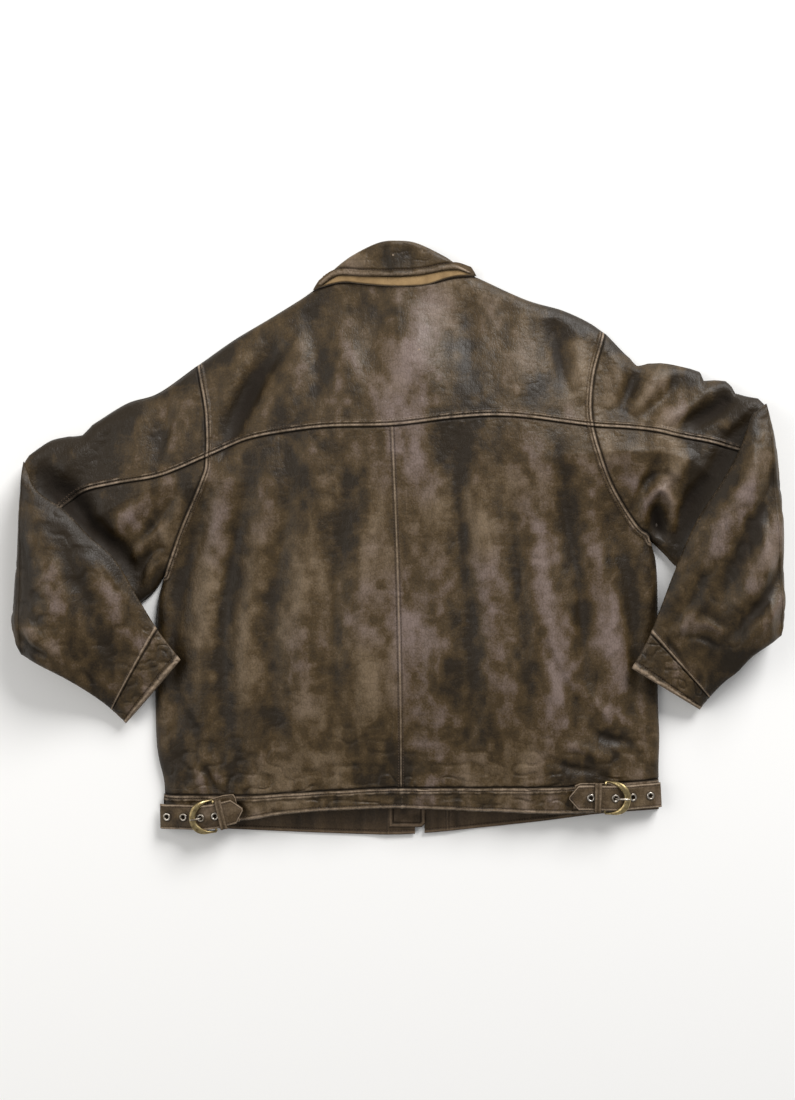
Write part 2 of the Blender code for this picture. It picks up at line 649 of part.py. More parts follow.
# ---------------------------------------------------------------- collar
def collar():
    neck, top, leaf = Curve(NECK_SEAM), Curve(COLLAR_TOP), Curve(LEAF_EDGE)
    inner_top = Curve(top(np.linspace(0.05, 0.95, 9)) - (0, 0.002))
    seam = Curve(neck(np.linspace(0.06, 0.94, 9)) + (0, 2 * SEAM_GAP))
    u, v = np.linspace(0, 1, 15), np.linspace(0, 1, 5)
    plan = patch(seam, inner_top, Curve([seam(0), inner_top(0)]), Curve([seam(1), inner_top(1)]), u, v)
    height = back_height(plan)
    sheet("collar_stand", lifted(plan, height), LEATHER, BROWN)
    sheet("undercollar", lifted(plan, height + 0.0004 + SUEDE), SUEDE, TAN_SUEDE)
    low = Curve(leaf(np.linspace(0.03, 0.97, 11)))
    high = Curve(top(np.linspace(0.03, 0.97, 11)))
    plan = patch(low, high, Curve([low(0), high(0)]), Curve([low(1), high(1)]), u, v)
    sheet("collar_leaf", lifted(plan, back_height(plan) + 0.0026 + SUEDE + LEATHER), LEATHER, BROWN)
    for side in (-1, 1):
        low, high = FRONT_NECK[side], FRONT_COLLAR[side]
        outer_end, zip_end = Curve([low(0), high(0)]), Curve([low(1), high(1)])
        plan = patch(low, high, outer_end, zip_end, np.linspace(0, 1, 6), np.linspace(0, 1, 4))
        plan[:, 0, 1] += 2 * SEAM_GAP
        sheet(f"collar_front_{NAMES[side]}", lifted(plan, front_height(plan)), LEATHER, BROWN, flip=side < 0)


def hanger_loop():
    """A cord of leather across the inside of the back neck."""
    curve = bpy.data.curves.new("hanger_loop", "CURVE")
    curve.dimensions = "3D"
    curve.bevel_depth = 0.0015
    curve.bevel_resolution = 2
    curve.use_fill_caps = True
    spline = curve.splines.new("POLY")
    steps = 14
    spline.points.add(steps)
    for n in range(steps + 1):
        t = n / steps
        x = -0.036 + 0.064 * t
        y = 0.326 + 0.010 * math.sin(math.pi * t)
        top = float(back_height(np.array([[x, y]]))[0])
        spline.points[n].co = (x, y, top - 0.0075 - 0.004 * math.sin(math.pi * t), 1)
    obj = bpy.data.objects.new("hanger_loop", curve)
    curve.materials.append(BROWN)
    PARTS.objects.link(obj)


# ---------------------------------------------------------------- zip
def box(name, low, high, finish, bevel=0.0):
    low, high = np.array(low), np.array(high)
    bm = bmesh.new()
    bmesh.ops.create_cube(bm, size=1)
    for vertex in bm.verts:
        vertex.co = (low + high) / 2 + np.array(vertex.co) * (high - low)
    mesh = bpy.data.meshes.new(name)
    bm.to_mesh(mesh)
    bm.free()
    obj = place(name, mesh, finish)
    if bevel:
        rounding = obj.modifiers.new("Rounding", "BEVEL")
        rounding.width = bevel
        rounding.segments = 1
    return obj


def outline_plate(name, outline, low, high, finish):
    """A flat plate from a closed outline."""
    curve = bpy.data.curves.new(name, "CURVE")
    curve.dimensions = "2D"
    curve.fill_mode = "BOTH"
    curve.extrude = (high - low) / 2
    spline = curve.splines.new("POLY")
    spline.points.add(len(outline) - 1)
    for point, (x, y) in zip(spline.points, outline, strict=True):
        point.co = (x, y, 0, 1)
    spline.use_cyclic_u = True
    obj = bpy.data.objects.new(name, curve)
    obj.location.z = (low + high) / 2
    curve.materials.append(finish)
    PARTS.objects.link(obj)
    return obj


def rounded_corner(centre, radius, start, count=5):
    angles = [start + math.pi / 2 * n / (count - 1) for n in range(count)]
    return [(centre[0] + radius * math.cos(a), centre[1] + radius * math.sin(a)) for a in angles]


def zip_fastener():
    tape_z = ZIP_RAISE + LEATHER + 0.0003
    for side in (-1, 1):
        name = NAMES[side]
        x = sorted((ZIP_X + side * 0.0006, ZIP_X + side * TAPE_WIDTH))
        low, high = (x[0], ZIP_BOTTOM_Y, tape_z), (x[1], ZIP_TOP_Y, tape_z + TAPE_THICK)
        box(f"zip_tape_{name}", low, high, ZIP_CLOTH)
        x = sorted((ZIP_X + side * 0.0002, ZIP_X + side * TEETH_WIDTH))
        low, high = (x[0], ZIP_BOTTOM_Y, tape_z - 0.0023), (x[1], ZIP_TOP_Y, tape_z - 0.0003)
        box(f"zip_teeth_{name}", low, high, BRASS)
    corner = rounded_corner((0.028, -0.373), 0.008, -math.pi / 2)
    guard = [(-0.013, -0.381), *corner, (0.036, 0.244), (-0.013, 0.244)]
    outline_plate("zip_guard", guard, tape_z + 0.0010, tape_z + 0.0026, BROWN)
    slider_and_pull(tape_z)


def slider_and_pull(tape_z):
    """The slider is a channel over the teeth, and the flat pull turns on its outer face."""
    half, middle = SLIDER_LENGTH / 2, ZIP_TOP_Y - 0.010
    plate_z = tape_z - 0.0033
    deep = tape_z - 0.0004 - plate_z
    slider = box("zip_slider", (-SLIDER_HALF, -half, 0), (SLIDER_HALF, half, deep), BRASS)
    slider.location = (ZIP_X, middle, plate_z)
    low, high = (-0.0034, -half - 0.001, 0.0007), (0.0034, half + 0.001, deep + 0.001)
    channel = box("slider_channel", low, high, BRASS)
    channel.location = slider.location
    hide_cutter(channel)
    cut(slider, channel)
    pull = box("zip_pull", (-0.0040, -PULL_LENGTH, -0.0010), (0.0040, 0.0, 0.0), BRASS, 0.0004)
    pull.location = (ZIP_X, middle, plate_z - 0.0004)


def hide_cutter(obj):
    PARTS.objects.unlink(obj)
    CUTTERS.objects.link(obj)
    obj.hide_render = True
    obj.display_type = "WIRE"


def cut(obj, cutter):
    made = obj.modifiers.new("Cut", "BOOLEAN")
    made.operation = "DIFFERENCE"
    made.object = cutter
    made.solver = "EXACT"


# ---------------------------------------------------------------- waist adjusters
class Strap:
    """The frame of an adjuster: x along the strap from the buckle bar to its tip, y across it, and z
    up from the waistband below."""

    def __init__(self, side):
        self.side = side
        self.data = ADJUSTERS[NAMES[side]]
        self.line = Curve(self.data["line"])
        self.start = self.line.share_at(self.data["bar"]) * self.line.length
        self.low_x = -self.start

    def plan(self, x, y):
        share = (np.asarray(x) + self.start) / self.line.length
        here = self.line(share)
        run = self.line(np.minimum(share + 0.02, 1.0)) - self.line(np.minimum(share + 0.02, 1.0) - 0.04)
        run = run / np.linalg.norm(run, axis=-1, keepdims=True)
        beyond = np.maximum(share - 1, 0)[..., None] * self.line.length
        normal = np.stack([-run[..., 1], run[..., 0]], -1)
        return here + run * beyond + normal * np.asarray(y)[..., None]

    def at(self, x, y, z):
        """World points of local ones; x, y and z are arrays of one shape."""
        x, y, z = np.broadcast_arrays(*(np.asarray(v, float) for v in (x, y, z)))
        further = 0.006 * (1 - ease((x - self.low_x) / 0.03))
        base = back_height(self.plan(x + further, y * 0))
        return lifted(self.plan(x, y), base + z)


def strap_rise(x):
    """How far the strap lies above the waistband: it climbs over the buckle's bar."""
    along = (-0.072, -0.050, -0.026, -0.013, 0.0, 0.012, 0.028, 0.060)
    rise = (0.0006, 0.0014, 0.0062, 0.0082, 0.0088, 0.0080, 0.0062, 0.0054)
    return np.interp(x, along, rise)


def strap_sheet(strap, name):
    tip, low = strap.data["tip"], strap.low_x + 0.0006
    bend, point = low + 0.02, 0.0125
    level = np.linspace(bend, tip - point, 13)
    x = np.concatenate([np.linspace(low, bend, 5)[:-1], level, [tip - 0.006, tip]])
    half = np.where(x > tip - point, STRAP_HALF * (0.12 + 0.88 * (tip - x) / point), STRAP_HALF)
    across = np.linspace(-1, 1, 5)
    xs = np.repeat(x[:, None], 5, 1)
    ys = half[:, None] * across[None, :]
    points = strap.at(xs, ys, strap_rise(xs) + STRAP_THICK)
    made = sheet(f"{name}_adjuster_strap", points, STRAP_THICK, BROWN)
    for n, hole in enumerate(strap.data["holes"]):
        cutter = bpy.data.objects.new(f"{name}_hole_{n}", cylinder_mesh(HOLE_RADIUS, 0.012, 12))
        PARTS.objects.link(cutter)
        hide_cutter(cutter)
        seat(cutter, strap, hole, strap_rise(hole))
        cut(made, cutter)


def cylinder_mesh(radius, height, sides):
    bm = bmesh.new()
    bmesh.ops.create_cone(bm, cap_ends=True, segments=sides, radius1=radius, radius2=radius, depth=height)
    mesh = bpy.data.meshes.new("cylinder")
    bm.to_mesh(mesh)
    bm.free()
    return mesh


def seat(obj, strap, x, z, y=0.0):
    """Stands an object on the strap's own frame at x, tipped with the strap's slope."""
    here = strap.at(x, y, z)
    step = 0.004
    run = strap.at(x + step, y, strap_rise(x + step)) - strap.at(x - step, y, strap_rise(x - step))
    side_step = strap.at(x, y + step, z) - strap.at(x, y - step, z)
    run = run / np.linalg.norm(run)
    side_step = side_step - run * float(np.dot(run, side_step))
    side_step = side_step / np.linalg.norm(side_step)
    up = np.cross(run, side_step)
    frame = Matrix.Identity(4)
    for row in range(3):
        for column, way in enumerate((run, side_step, up, here)):
            frame[row][column] = way[row]
    obj.matrix_world = frame


def eyelets(strap, name):
    """A turned ring in each hole: a flange on the strap and a barrel through it."""
    top = STRAP_THICK + 0.0003
    profile = [(0.0026, top + 0.0009), (0.0026, 0.0002), (0.0030, 0.0002)]
    profile += [(0.0030, top), (0.0051, top), (0.0050, top + 0.0006)]
    for n, hole in enumerate(strap.data["holes"]):
        mesh = bpy.data.meshes.new("eyelet")
        bm = bmesh.new()
        ring = [bm.verts.new((r, 0, z)) for r, z in reversed(profile)]
        for a, b in zip(ring, ring[1:] + ring[:1], strict=True):
            bm.edges.new((a, b))
        bm.to_mesh(mesh)
        bm.free()
        obj = place(f"{name}_eyelet_{n + 1}", mesh, BRASS)
        turn = obj.modifiers.new("Turn", "SCREW")
        turn.steps = turn.render_steps = 14
        turn.merge_threshold = 0.0001
        turn.use_merge_vertices = True
        seat(obj, strap, hole, strap_rise(hole))


def wire(name, points, radius, finish, cyclic=False, resolution=2):
    curve = bpy.data.curves.new(name, "CURVE")
    curve.dimensions = "3D"
    curve.bevel_depth = radius
    curve.bevel_resolution = resolution
    curve.use_fill_caps = not cyclic
    spline = curve.splines.new("POLY")
    spline.points.add(len(points) - 1)
    for point, co in zip(spline.points, points, strict=True):
        point.co = (*co, 1)
    spline.use_cyclic_u = cyclic
    obj = bpy.data.objects.new(name, curve)
    curve.materials.append(finish)
    PARTS.objects.link(obj)
    return obj


def buckle(strap, name):
    """The D frame: a straight bar under the strap, arms beside it and an arc over it."""
    empty = bpy.data.objects.new(f"{name}_buckle_axis", None)
    empty.hide_render = True
    PARTS.objects.link(empty)
    seat_flat(empty, strap)
    steps = 16
    points = [(0, y, 0) for y in np.linspace(FRAME_HALF - 0.004, -FRAME_HALF + 0.004, 5)]
    for n in range(steps + 1):
        turn = math.pi * n / steps
        reach = math.sin(turn) ** 0.75
        rise = (ARC_LIFT - BAR_LIFT) * ease(reach * 1.1)
        points.append((-ARC_REACH * reach, -FRAME_HALF * math.cos(turn), rise))
    frame = wire(f"{name}_buckle_frame", points, BAR_RADIUS, BRASS, cyclic=True)
    frame.parent = empty
    hole = strap.data["holes"][strap.data["prong_hole"]]
    base = float(strap_rise(hole)) - BAR_LIFT
    wrap = np.radians((60, 20, -20, -60, -100, -140))
    hook = [(0.0029 * math.cos(a), 0.0, 0.0029 * math.sin(a)) for a in wrap]
    stem = [(-0.0055, 0, -0.0006), (hole + 0.0016, 0, base - 0.0022), (hole + 0.0004, 0, base - 0.0004),
            (hole - 0.0002, 0, base + STRAP_THICK + 0.0014), (hole - 0.0020, 0, base + STRAP_THICK + 0.0040),
            (-ARC_REACH - 0.0022, 0, ARC_LIFT - BAR_LIFT + BAR_RADIUS + 0.0016)]
    prong = wire(f"{name}_buckle_prong", hook + stem, PRONG_RADIUS, BRASS)
    prong.parent = empty


def seat_flat(obj, strap):
    here = strap.at(0.0, 0.0, BAR_LIFT)
    hole = strap.at(strap.data["holes"][strap.data["prong_hole"]], 0.0, BAR_LIFT)
    angle = math.atan2(here[1] - hole[1], here[0] - hole[0])
    obj.location = here
    obj.rotation_euler.z = angle


def anchor(strap, name):
    """The leather that loops round the bar and is sewn to the waistband, slotted for the prong."""
    turn = np.radians(np.linspace(-90, -270, 7))
    radius = BAR_RADIUS + 0.0006 + ANCHOR_THICK
    reach = 0.026
    profile = [(x, BAR_LIFT - radius) for x in np.linspace(reach, 0, 5)]
    profile += [(radius * math.cos(a), BAR_LIFT + radius * math.sin(a)) for a in turn[1:]]
    profile += [(0.0045, BAR_LIFT + radius - 0.0002)]
    across = np.linspace(-0.0098, 0.0098, 5)
    x = np.repeat(np.array([p[0] for p in profile])[:, None], 5, 1)
    z = np.repeat(np.array([p[1] for p in profile])[:, None], 5, 1)
    y = np.repeat(across[None, :], len(profile), 0)
    made = sheet(f"{name}_buckle_anchor", strap.at(x, y, z), ANCHOR_THICK, BROWN)
    slot = box(f"{name}_slot", (-0.009, -0.0022, -0.0060), (0.0062, 0.0022, 0.006), BRASS)
    hide_cutter(slot)
    seat_flat(slot, strap)
    cut(made, slot)


def keeper(strap, name):
    """A leather loop round the strap."""
    centre = 0.0095 if strap.side < 0 else 0.0105
    rise = float(strap_rise(centre))
    half_y = STRAP_HALF + 0.0020
    low, high = rise - 0.0018, rise + STRAP_THICK + 0.0032
    side_y, side_z = half_y + 0.001, (low + high) / 2
    outline = [(share * half_y, low) for share in (-1, -0.5, 0.5, 1)] + [(side_y, side_z)]
    outline += [(share * half_y, high) for share in (1, 0.5, -0.5, -1)] + [(-side_y, side_z), (-half_y, low)]
    x = np.array([centre - KEEPER_HALF, centre + KEEPER_HALF])
    y = np.repeat(np.array([p[0] for p in outline])[:, None], 2, 1)
    z = np.repeat(np.array([p[1] for p in outline])[:, None], 2, 1)
    xs = np.repeat(x[None, :], len(outline), 0)
    sheet(f"{name}_strap_keeper", strap.at(xs, y, z), KEEPER_THICK, BROWN, closed=True, flip=True)


def adjusters():
    for side in (-1, 1):
        strap, name = Strap(side), NAMES[side]
        strap_sheet(strap, name)
        eyelets(strap, name)
        buckle(strap, name)
        anchor(strap, name)
        keeper(strap, name)


# ---------------------------------------------------------------- moving pieces
FOREARM_PIECES = ["top_sleeve_forearm", "under_sleeve_forearm", "cuff", "sleeve_lining_forearm"]


def hang(name, axis, pieces):
    """An empty on a joint's axis, z along it, that carries the pieces that move."""
    empty = bpy.data.objects.new(name, None)
    empty.hide_render = True
    PARTS.objects.link(empty)
    turn = Vector(axis[1]).to_track_quat("Z", "Y").to_matrix().to_4x4()
    frame = Matrix.Translation(axis[0]) @ turn
    empty.matrix_world = frame
    for piece in pieces:
        obj = bpy.data.objects[piece]
        obj.parent = empty
        obj.matrix_parent_inverse = frame.inverted()


clear_scene()
PARTS = collection("leather_riding_jacket")
CUTTERS = collection("cutters")
BROWN = material("brown_leather", (0.11, 0.075, 0.055), 0.5)
TAN_SUEDE = material("tan_suede", (0.43, 0.28, 0.12), 0.9)
LINING_CLOTH = material("lining_cloth", (0.06, 0.045, 0.035), 0.7)
ZIP_CLOTH = material("zip_cloth", (0.03, 0.025, 0.02), 0.9)
BRASS = material("antique_brass", (0.32, 0.25, 0.14), 0.4, 1.0)

yoke()
back_panels()
back_band()
front_panels()
body_linings()
for arm_side in (-1, 1):
    upper_sleeve(arm_side)
    forearm(arm_side)
collar()
hanger_loop()
zip_fastener()
adjusters()
for arm_name, axis in ELBOW_AXES.items():
    hang(f"{arm_name}_elbow_axis", axis, [f"{arm_name}_{piece}" for piece in FOREARM_PIECES])
hang("collar_axis", COLLAR_AXIS, ["collar_stand", "undercollar", "collar_leaf"])
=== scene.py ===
"""A worn brown leather riding jacket, laid face down on a pale floor with both forearms folded over."""

import math

import bpy
import numpy as np
from mathutils import Matrix, Vector


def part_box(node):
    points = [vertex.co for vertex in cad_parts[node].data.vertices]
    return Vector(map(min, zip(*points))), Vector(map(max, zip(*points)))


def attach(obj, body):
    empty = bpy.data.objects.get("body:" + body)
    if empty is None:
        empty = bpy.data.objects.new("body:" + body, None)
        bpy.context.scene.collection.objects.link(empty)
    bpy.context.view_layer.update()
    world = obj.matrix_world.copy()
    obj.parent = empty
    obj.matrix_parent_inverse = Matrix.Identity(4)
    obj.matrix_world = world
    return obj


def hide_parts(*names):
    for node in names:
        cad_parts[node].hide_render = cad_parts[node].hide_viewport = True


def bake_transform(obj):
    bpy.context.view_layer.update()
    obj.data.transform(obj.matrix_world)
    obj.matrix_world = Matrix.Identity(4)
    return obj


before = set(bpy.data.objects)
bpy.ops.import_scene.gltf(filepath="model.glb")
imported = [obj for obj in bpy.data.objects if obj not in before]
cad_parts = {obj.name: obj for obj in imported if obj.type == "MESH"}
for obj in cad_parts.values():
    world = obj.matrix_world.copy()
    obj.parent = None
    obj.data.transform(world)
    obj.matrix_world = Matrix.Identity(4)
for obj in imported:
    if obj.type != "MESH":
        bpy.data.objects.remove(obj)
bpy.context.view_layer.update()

# ---------------------------------------------------------------- dimensions, in metres
EDGE_TOP = 0.0036
EDGE_ROUND = 0.013
EDGE_RADIUS = 0.022
BELLY = 0.030
BELLY_REACH = 0.20
HEM_SHARE = 0.35
NECK_SHARE = 0.45
ARM_EDGE = 0.0126
ARM_RISE = 0.0214
ARM_RADIUS = 0.090
ARM_START = {-1: 0.315, 1: 0.345}
ARM_END = 0.482
FOLD_Z = 0.0377
FOREARM_HALF = 0.0170
CUFF_HALF = 0.0095
CUFF_LOW_Z = 0.0120
CUFF_HIGH_Z = 0.0330
ZIP_X = 0.030
ZIP_RAISE = 0.0024
ZIP_FLAT = 0.040
ZIP_SLOPE = 0.035
FINE = 0.0006
COARSE = 0.0019

# ---------------------------------------------------------------- outlines and seams, (x, y)
LEFT = {
    "shoulder": [(-0.266, 0.229), (-0.218, 0.263), (-0.173, 0.290), (-0.131, 0.316), (-0.112, 0.329)],
    "armhole": [(-0.309, -0.047), (-0.286, 0.014), (-0.257, 0.079), (-0.252, 0.106), (-0.254, 0.166),
                (-0.266, 0.229)],
    "side": [(-0.311, -0.374), (-0.309, -0.326), (-0.320, -0.261), (-0.320, -0.105), (-0.309, -0.047)],
    "sleeve_top": [(-0.266, 0.229), (-0.318, 0.192), (-0.361, 0.177), (-0.421, 0.139), (-0.458, 0.126),
                   (-0.486, 0.101)],
    "sleeve_low": [(-0.309, -0.047), (-0.333, -0.078), (-0.410, -0.125), (-0.489, -0.150)],
    "sleeve_seam": [(-0.252, 0.106), (-0.311, 0.082), (-0.369, 0.0715), (-0.419, 0.058), (-0.455, 0.025),
                    (-0.4876, -0.015)],
    "forearm_in": [(-0.486, 0.101), (-0.468, 0.064), (-0.430, 0.036), (-0.400, 0.004), (-0.368, -0.026),
                   (-0.338, -0.078), (-0.313, -0.120), (-0.285, -0.157)],
    "forearm_out": [(-0.489, -0.150), (-0.468, -0.161), (-0.430, -0.182), (-0.393, -0.210), (-0.360, -0.242)],
    "bulge": [(0, 0.003), (0.3, 0.007), (0.6, 0.011), (0.82, 0.0145), (1, 0.010)],
    "front_neck": [(-0.112, 0.329), (-0.092, 0.288), (-0.045, 0.262), (0.024, 0.254)],
    "front_collar": [(-0.106, 0.332), (-0.085, 0.343), (-0.045, 0.352), (0.024, 0.354)],
}
RIGHT = {
    "shoulder": [(0.274, 0.272), (0.252, 0.287), (0.217, 0.303), (0.169, 0.317), (0.103, 0.347)],
    "armhole": [(0.334, -0.001), (0.330, 0.007), (0.314, 0.020), (0.278, 0.078), (0.256, 0.147),
                (0.257, 0.208),
                (0.274, 0.272)],
    "side": [(0.348, -0.352), (0.345, -0.309), (0.346, -0.261), (0.344, -0.205), (0.343, -0.050),
             (0.334, -0.001)],
    "sleeve_top": [(0.274, 0.272), (0.316, 0.236), (0.367, 0.225), (0.432, 0.205), (0.478, 0.176)],
    "sleeve_low": [(0.334, -0.001), (0.352, -0.018), (0.372, -0.038), (0.430, -0.082), (0.497, -0.126)],
    "sleeve_seam": [(0.256, 0.147), (0.321, 0.143), (0.372, 0.133), (0.407, 0.126), (0.440, 0.117),
                    (0.4823, 0.100)],
    "forearm_in": [(0.478, 0.176), (0.458, 0.159), (0.442, 0.117), (0.421, 0.078), (0.386, 0.022),
                   (0.361, -0.038),
                   (0.329, -0.125), (0.306, -0.168)],
    "forearm_out": [(0.497, -0.126), (0.460, -0.151), (0.442, -0.173), (0.425, -0.190), (0.399, -0.224)],
    "bulge": [(0, 0.003), (0.12, 0.0100), (0.5, 0.0150), (0.85, 0.0090), (1, 0.005)],
    "front_neck": [(0.103, 0.347), (0.092, 0.300), (0.070, 0.268), (0.036, 0.255)],
    "front_collar": [(0.098, 0.349), (0.085, 0.357), (0.065, 0.358), (0.036, 0.355)],
}
YOKE_SEAM = [(-0.252, 0.106), (-0.194, 0.130), (-0.104, 0.144), (-0.008, 0.147), (0.079, 0.157),
             (0.148, 0.159),
             (0.256, 0.147)]
CENTRE_SEAM = [(0.004, -0.326), (0.003, -0.209), (-0.001, -0.027), (-0.008, 0.147)]
NECK_SEAM = [(-0.112, 0.329), (-0.069, 0.338), (-0.004, 0.333), (0.042, 0.3365), (0.074, 0.3445),
             (0.103, 0.347)]
COLLAR_TOP = [(-0.110, 0.332), (-0.088, 0.351), (-0.062, 0.371), (-0.027, 0.388), (-0.001, 0.391),
              (0.025, 0.388),
              (0.060, 0.372), (0.077, 0.361), (0.101, 0.349)]
LEAF_EDGE = [(-0.104, 0.331), (-0.079, 0.3465), (-0.043, 0.345), (-0.001, 0.344), (0.034, 0.3475),
             (0.060, 0.353),
             (0.079, 0.354), (0.096, 0.3485)]
BAND_TOP = [(-0.3095, -0.337), (-0.203, -0.337), (-0.147, -0.333), (-0.057, -0.328), (0.004, -0.326),
            (0.216, -0.325), (0.3453, -0.317)]
BAND_BOTTOM = [(-0.311, -0.374), (-0.212, -0.3705), (-0.147, -0.360), (-0.057, -0.354), (0.017, -0.353),
               (0.135, -0.3575), (0.242, -0.360), (0.348, -0.352)]
FRONT_HEM = [(-0.308, -0.379), (-0.224, -0.383), (-0.079, -0.389), (0.003, -0.390), (0.083, -0.384),
             (0.188, -0.373), (0.268, -0.363), (0.346, -0.357)]
FRONT_BAND = 0.046
CUFF_START = {-1: 0.853, 1: 0.870}
NAMES = {-1: "left", 1: "right"}


# ---------------------------------------------------------------- curves, noise and folds
def ease(t):
    t = np.clip(t, 0.0, 1.0)
    return t * t * (3 - 2 * t)


def crown(distance, radius):
    """A quarter ellipse: 0 at the edge, 1 from radius inwards."""
    return np.sqrt(1 - (1 - np.clip(distance / radius, 0, 1)) ** 2)


def bell(d, width):
    return np.exp(-((d / width) ** 2))


class Curve:
    """A smooth curve through points, read by its share of length."""

    def __init__(self, points, steps=24):
        p = np.array(points, float)
        p = np.vstack([2 * p[0] - p[1], p, 2 * p[-1] - p[-2]])
        t = np.linspace(0, 1, steps, endpoint=False)[:, None]
        spans = []
        for a, b, c, d in zip(p[:-3], p[1:-2], p[2:-1], p[3:], strict=True):
            curl = (2 * a - 5 * b + 4 * c - d) * t**2 + (3 * b - a - 3 * c + d) * t**3
            spans.append(0.5 * (2 * b + (c - a) * t + curl))
        self.measure(np.vstack([*spans, p[-2:-1]]))

    def measure(self, points):
        self.points = points
        self.along = np.concatenate([[0], np.cumsum(np.linalg.norm(np.diff(points, axis=0), axis=1))])
        self.length = self.along[-1]

    def __call__(self, share):
        s = np.asarray(share, float) * self.length
        axes = range(self.points.shape[1])
        return np.stack([np.interp(s, self.along, self.points[:, k]) for k in axes], -1)

    def share_at(self, point):
        nearest = np.argmin(np.linalg.norm(self.points - np.array(point), axis=1))
        return self.along[nearest] / self.length

    def part(self, start, end, count=80):
        piece = Curve.__new__(Curve)
        piece.measure(self(np.linspace(start, end, count)))
        return piece

    def back(self):
        return self.part(1, 0)


def joined(*curves):
    whole = Curve.__new__(Curve)
    whole.measure(np.vstack([curves[0].points, *[c.points[1:] for c in curves[1:]]]))
    return whole


def nearest(points, curve, samples=48):
    """Distance, share of length and side (+1 on the left of its run) of the nearest place on a curve."""
    flat = points.reshape(-1, 2)
    line = curve(np.linspace(0, 1, samples))
    best, where, side = np.full(len(flat), 9.0), np.zeros(len(flat)), np.ones(len(flat))
    for n, (a, b) in enumerate(zip(line[:-1], line[1:], strict=True)):
        run, rel = b - a, flat - a
        share = np.clip(rel @ run / (run @ run), 0, 1)
        gap = np.hypot(rel[:, 0] - share * run[0], rel[:, 1] - share * run[1])
        closer = gap < best
        best = np.where(closer, gap, best)
        where = np.where(closer, (n + share) / (samples - 1), where)
        side = np.where(closer, np.sign(run[0] * rel[:, 1] - run[1] * rel[:, 0]), side)
    shape = points.shape[:-1]
    return best.reshape(shape), where.reshape(shape), side.reshape(shape)


def lattice(ix, iy, seed):
    n = (ix * 374761393 + iy * 668265263 + seed * 974634777) & 0xFFFFFFFF
    n = ((n ^ (n >> 13)) * 1274126177) & 0xFFFFFFFF
    return ((n ^ (n >> 16)) & 0xFFFF) / 32767.5 - 1


def noise(points, across, along=None, seed=0):
    """Smooth noise from -1 to 1, with cells across wide in x and along long in y."""
    x, y = points[..., 0] / across, points[..., 1] / (along or across)
    ix, iy = np.floor(x).astype(np.int64), np.floor(y).astype(np.int64)
    fx, fy = x - ix, y - iy
    fx, fy = fx**3 * (fx * (fx * 6 - 15) + 10), fy**3 * (fy * (fy * 6 - 15) + 10)
    low = lattice(ix, iy, seed) * (1 - fx) + lattice(ix + 1, iy, seed) * fx
    high = lattice(ix, iy + 1, seed) * (1 - fx) + lattice(ix + 1, iy + 1, seed) * fx
    return low * (1 - fy) + high * fy


def crumple(points, size, seed=0):
    """Creased noise, from 0 in its sharp lines to 1: cells of leather between wrinkle lines."""
    bent = points + 0.35 * size * np.stack([noise(points, size, None, seed + 5),
                                            noise(points, size, None, seed + 6)], -1)
    return np.minimum(np.abs(noise(bent, size, None, seed)) * 2.2, 1)


def folded(points, folds):
    """Ridges (height above 0) and valleys: each is a line, a width, a height and how steep one side is."""
    total = np.zeros(points.shape[:-1])
    for line, width, height, steep in folds:
        curve = Curve(line, 8)
        low, high = curve.points.min(0) - 3 * width, curve.points.max(0) + 3 * width
        near = ((points >= low) & (points <= high)).all(-1)
        if not near.any():
            continue
        d, share, side = nearest(points[near], curve, 20)
        wide = np.where(side * steep > 0, width * (1 - 0.65 * abs(steep)), width)
        taper = np.sin(np.pi * np.clip(share, 0, 1)) ** 0.8
        total[near] += height * bell(d, wide) * taper
    return total


def named(name):
    return {-1: Curve(LEFT[name]), 1: Curve(RIGHT[name])}


SHOULDER = named("shoulder")
ARMHOLE = named("armhole")
SIDE = named("side")
SLEEVE_TOP = named("sleeve_top")
SLEEVE_LOW = named("sleeve_low")
SLEEVE_SEAM = named("sleeve_seam")
FOREARM_IN = named("forearm_in")
FOREARM_OUT = named("forearm_out")
FRONT_NECK = named("front_neck")
FRONT_COLLAR = named("front_collar")
EDGES = [c[side] for c in (SHOULDER, SIDE, SLEEVE_TOP, SLEEVE_LOW) for side in (-1, 1)]


RAGGED = {
    -1: [(0, 0), (0.62, 0.001), (0.69, -0.004), (0.76, 0.0015), (0.90, 0.003), (0.97, 0.005), (1, 0.003)],
    1: [(0, 0), (0.12, -0.001), (0.20, -0.002), (0.255, -0.0065), (0.31, 0.001), (0.38, 0.004),
        (0.55, 0.005), (0.61, 0.004),
        (0.645, -0.006), (0.70, -0.001), (0.76, 0.003), (0.80, 0.0), (0.84, -0.006), (0.90, -0.002),
        (0.96, 0.004), (1, 0.002)],
}


def distance_to(points, curves):
    best = np.full(points.shape[:-1], 9.0)
    for curve in curves:
        best = np.minimum(best, nearest(points, curve, 40)[0])
    return best


# ---------------------------------------------------------------- the jacket's swelling
def arm_share(points):
    x = points[..., 0]
    start = np.where(x < 0, ARM_START[-1], ARM_START[1])
    return ease((np.abs(x) - start) / (ARM_END - start)) * (points[..., 1] > -0.20)


def belly_share(points):
    y = points[..., 1]
    hem = HEM_SHARE + (1 - HEM_SHARE) * ease((y + 0.37) / 0.22)
    return hem * (1 - (1 - NECK_SHARE) * ease((y - 0.22) / 0.11))


